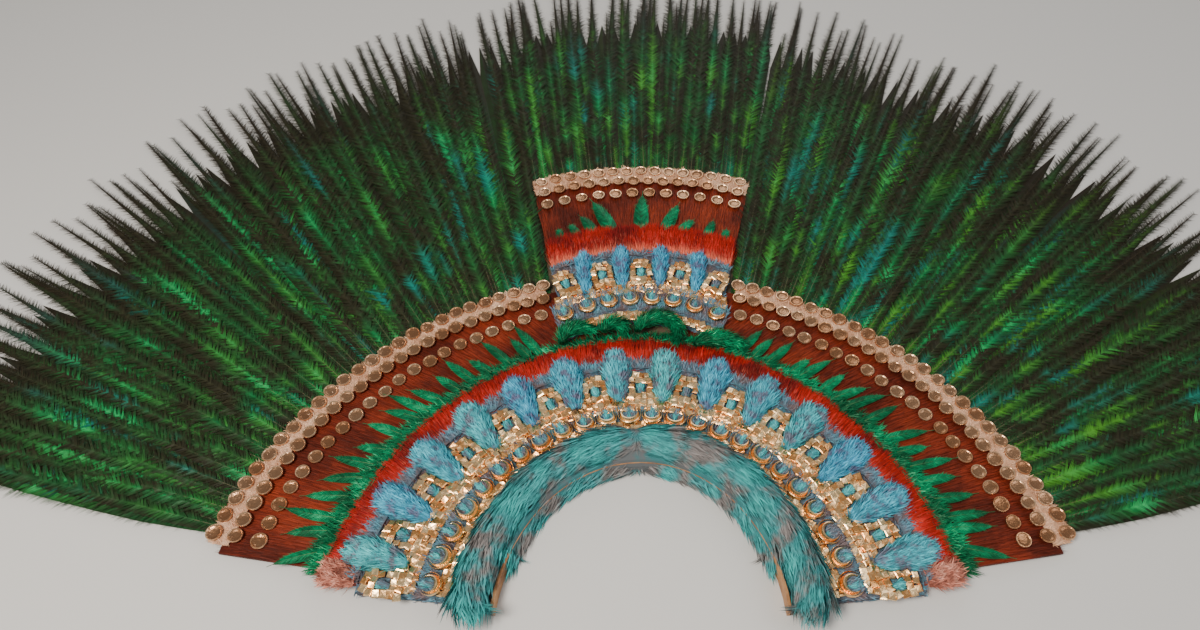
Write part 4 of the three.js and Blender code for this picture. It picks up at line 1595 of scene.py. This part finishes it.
def crest_disc_rows():
    chance = random.Random(25)
    rows = []
    for name, count, foot in CREST_DISC_ROWS:
        reach = 1 - 11 / half_width(CREST[name])
        for side in spread(count, -reach, reach):
            at = on_crest(CREST[name] + chance.uniform(-1, 1), side)
            rows.append(disc_row(at, foot, chance))
    return rows


CURLS = (
    (-74, 332, 20, 190, 40, 15),
    (-32, 346, 12, 180, 0, 15),
    (20, 344, 24, 172, -35, 17),
    (90, 290, 46, 125, 52, 17),
)


def curls():
    forms = []
    for x, y, radius, start, end, thick in CURLS:
        sections, flows = [], []
        steps, sides = 12, 10
        for k in range(steps + 1):
            turn = math.radians(mix(start, end, k / steps))
            out = Vector((math.cos(turn), math.sin(turn), 0))
            middle = Vector((x * MM, ARCH_Y + y * MM, 0)) + out * radius * MM
            swell = 0.4 + 0.6 * math.sin(math.pi * (k + 0.8) / (steps + 1.6))
            sections.append(oval_section(middle, out, thick / 2 * swell, BED_TOP + 7, 6 * swell, sides))
            flows.append(beside(out) + Vector((0, 0, 0.1)))
        forms.append(loft(sections, flows))
    return plumage("green_curl_feathers", merge(*forms))


# ---- Put together --------------------------------------------------------------------------------

def dress(piece, slot, *nodes):
    """Hands a finished piece over: it rides on the part and stands for its CAD nodes, which it hides. slot is
    not used.
    """
    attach(piece, "root")
    if nodes:
        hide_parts(*nodes)


wing_left, wing_right, wing_crest = all_plumes()
dress(wing_left, "plume", "plume_fan_left")
dress(wing_right, "plume", "plume_fan_right")
dress(wing_crest, "plume", "crest_plume_fan")

dress(red_band(), "red_feather", "red_collar")
dress(end_down(), "red_feather")
dress(green_ring(), "green_feather", "green_collar")
dress(collar_blades(), "green_feather")
for side, name in ((-1, "left"), (1, "right")):
    dress(brown_band(side, name), "brown_feather", "brown_band_" + name)
    dress(border_strip(side, name), "gold_discs", "disc_border_" + name)
    dress(ornaments("discs_" + name, DISC, DISC_LOOK, disc_rows(side), 0.09, 6 + side), "gold_discs")
dress(rim_roll(), "roll_feather", "rim_roll")

for (tufts, down), place in zip(zip(blue_tufts(), blue_down()), ("blue_tufts", "crest_blue_tufts")):
    dress(tufts, "blue_feather", place)
    dress(down, "blue_feather")
for bed, node in zip(gold_beds(), ("gold_bed", "crest_gold_bed")):
    dress(bed, "gold", node)
dress(gold_plates(), "gold")
dress(crest_plates(), "gold")
dress(eyes(), "blue_feather")
collar_moons, crest_moons = crescents()
dress(collar_moons, "gold", *["crescent_%02d" % k for k in range(1, 25)])
dress(crest_moons, "gold", *["crest_crescent_%d" % k for k in range(1, 9)])

crest_pieces = crest_bands()
dress(crest_pieces["brown"], "brown_feather", "crest_brown_band")
dress(crest_pieces["red"], "red_feather", "crest_red_fringe")
dress(crest_pieces["border"], "gold_discs", "crest_disc_border")
dress(crest_pieces["blades"], "green_feather", "crest_green_blades")
dress(ornaments("discs_crest", DISC, DISC_LOOK, crest_disc_rows(), 0.09, 9), "gold_discs")
dress(curls(), "green_feather", *["green_curl_%d" % k for k in range(1, 5)])

for node, look in (("head_band", LEATHER_LOOK), ("backing_cloth", CLOTH_LOOK)):
    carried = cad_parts[node]
    carried.data.materials.clear()
    carried.data.materials.append(look)

for form in FORMS:
    bpy.data.objects.remove(form)

# ---- Floor, light and camera ---------------------------------------------------------------------


FLOOR_REACH, FLOOR_Z = 40, -0.0005
FLOOR_COLOUR = (0.62, 0.61, 0.59, 1)
SQUARE = ((-1, -1), (1, -1), (1, 1), (-1, 1))


def floor():
    slab = make_mesh("floor", [(x * FLOOR_REACH, y * FLOOR_REACH, 0) for x, y in SQUARE], [(0, 1, 2, 3)])
    material, _, gloss = new_material("pale floor", 0.8)
    gloss.inputs["Base Color"].default_value = FLOOR_COLOUR
    slab.data.materials.append(material)
    slab.location.z = FLOOR_Z


# name, place, the point it faces, size in metres, power in watts and colour
LAMPS = (
    ("key", (-0.7, -1.1, 1.7), (0, -0.3, 0), 0.6, 44, (1.0, 0.93, 0.84)),
    ("fill", (1.6, -0.7, 1.6), (0, 0, 0), 1.4, 12, (1, 1, 1)),
    ("back", (0.3, 2.4, 1.8), (0, 0, 0), 1.4, 12, (1, 1, 1)),
)
ROOM_STRENGTH = 0.35


def lamp(name, place, aim, size, power, colour):
    light = bpy.data.lights.new(name, "AREA")
    light.size, light.energy, light.color = size, power, colour
    holder = bpy.data.objects.new(name, light)
    holder.location = place
    holder.rotation_euler = (Vector(aim) - Vector(place)).to_track_quat("-Z", "Y").to_euler()
    bpy.context.scene.collection.objects.link(holder)


def light_room():
    for row in LAMPS:
        lamp(*row)
    world = bpy.data.worlds.new("room")
    world.use_nodes = True
    sky = world.node_tree.nodes["Background"]
    sky.inputs["Color"].default_value = (1, 1, 1, 1)
    sky.inputs["Strength"].default_value = ROOM_STRENGTH
    bpy.context.scene.world = world


CAMERA_LENS, CAMERA_SENSOR, CAMERA_SHIFT = 25.5, 36, -0.034
CAMERA_REACH = 1.05
CAMERA_TILT = math.radians(39)  # between the view and the headdress's own face
CAMERA_AIM_ABOVE_ARCH = 0.38


def camera():
    data = bpy.data.cameras.new("view")
    data.lens, data.sensor_width = CAMERA_LENS, CAMERA_SENSOR
    data.shift_x = CAMERA_SHIFT
    holder = bpy.data.objects.new("view", data)
    aim = Vector((0, ARCH_Y + CAMERA_AIM_ABOVE_ARCH, 0.01))
    holder.location = aim + Vector((0, -math.sin(CAMERA_TILT), math.cos(CAMERA_TILT))) * CAMERA_REACH
    holder.rotation_euler = (CAMERA_TILT, 0, 0)
    bpy.context.scene.collection.objects.link(holder)
    bpy.context.scene.camera = holder


floor()
light_room()
camera()
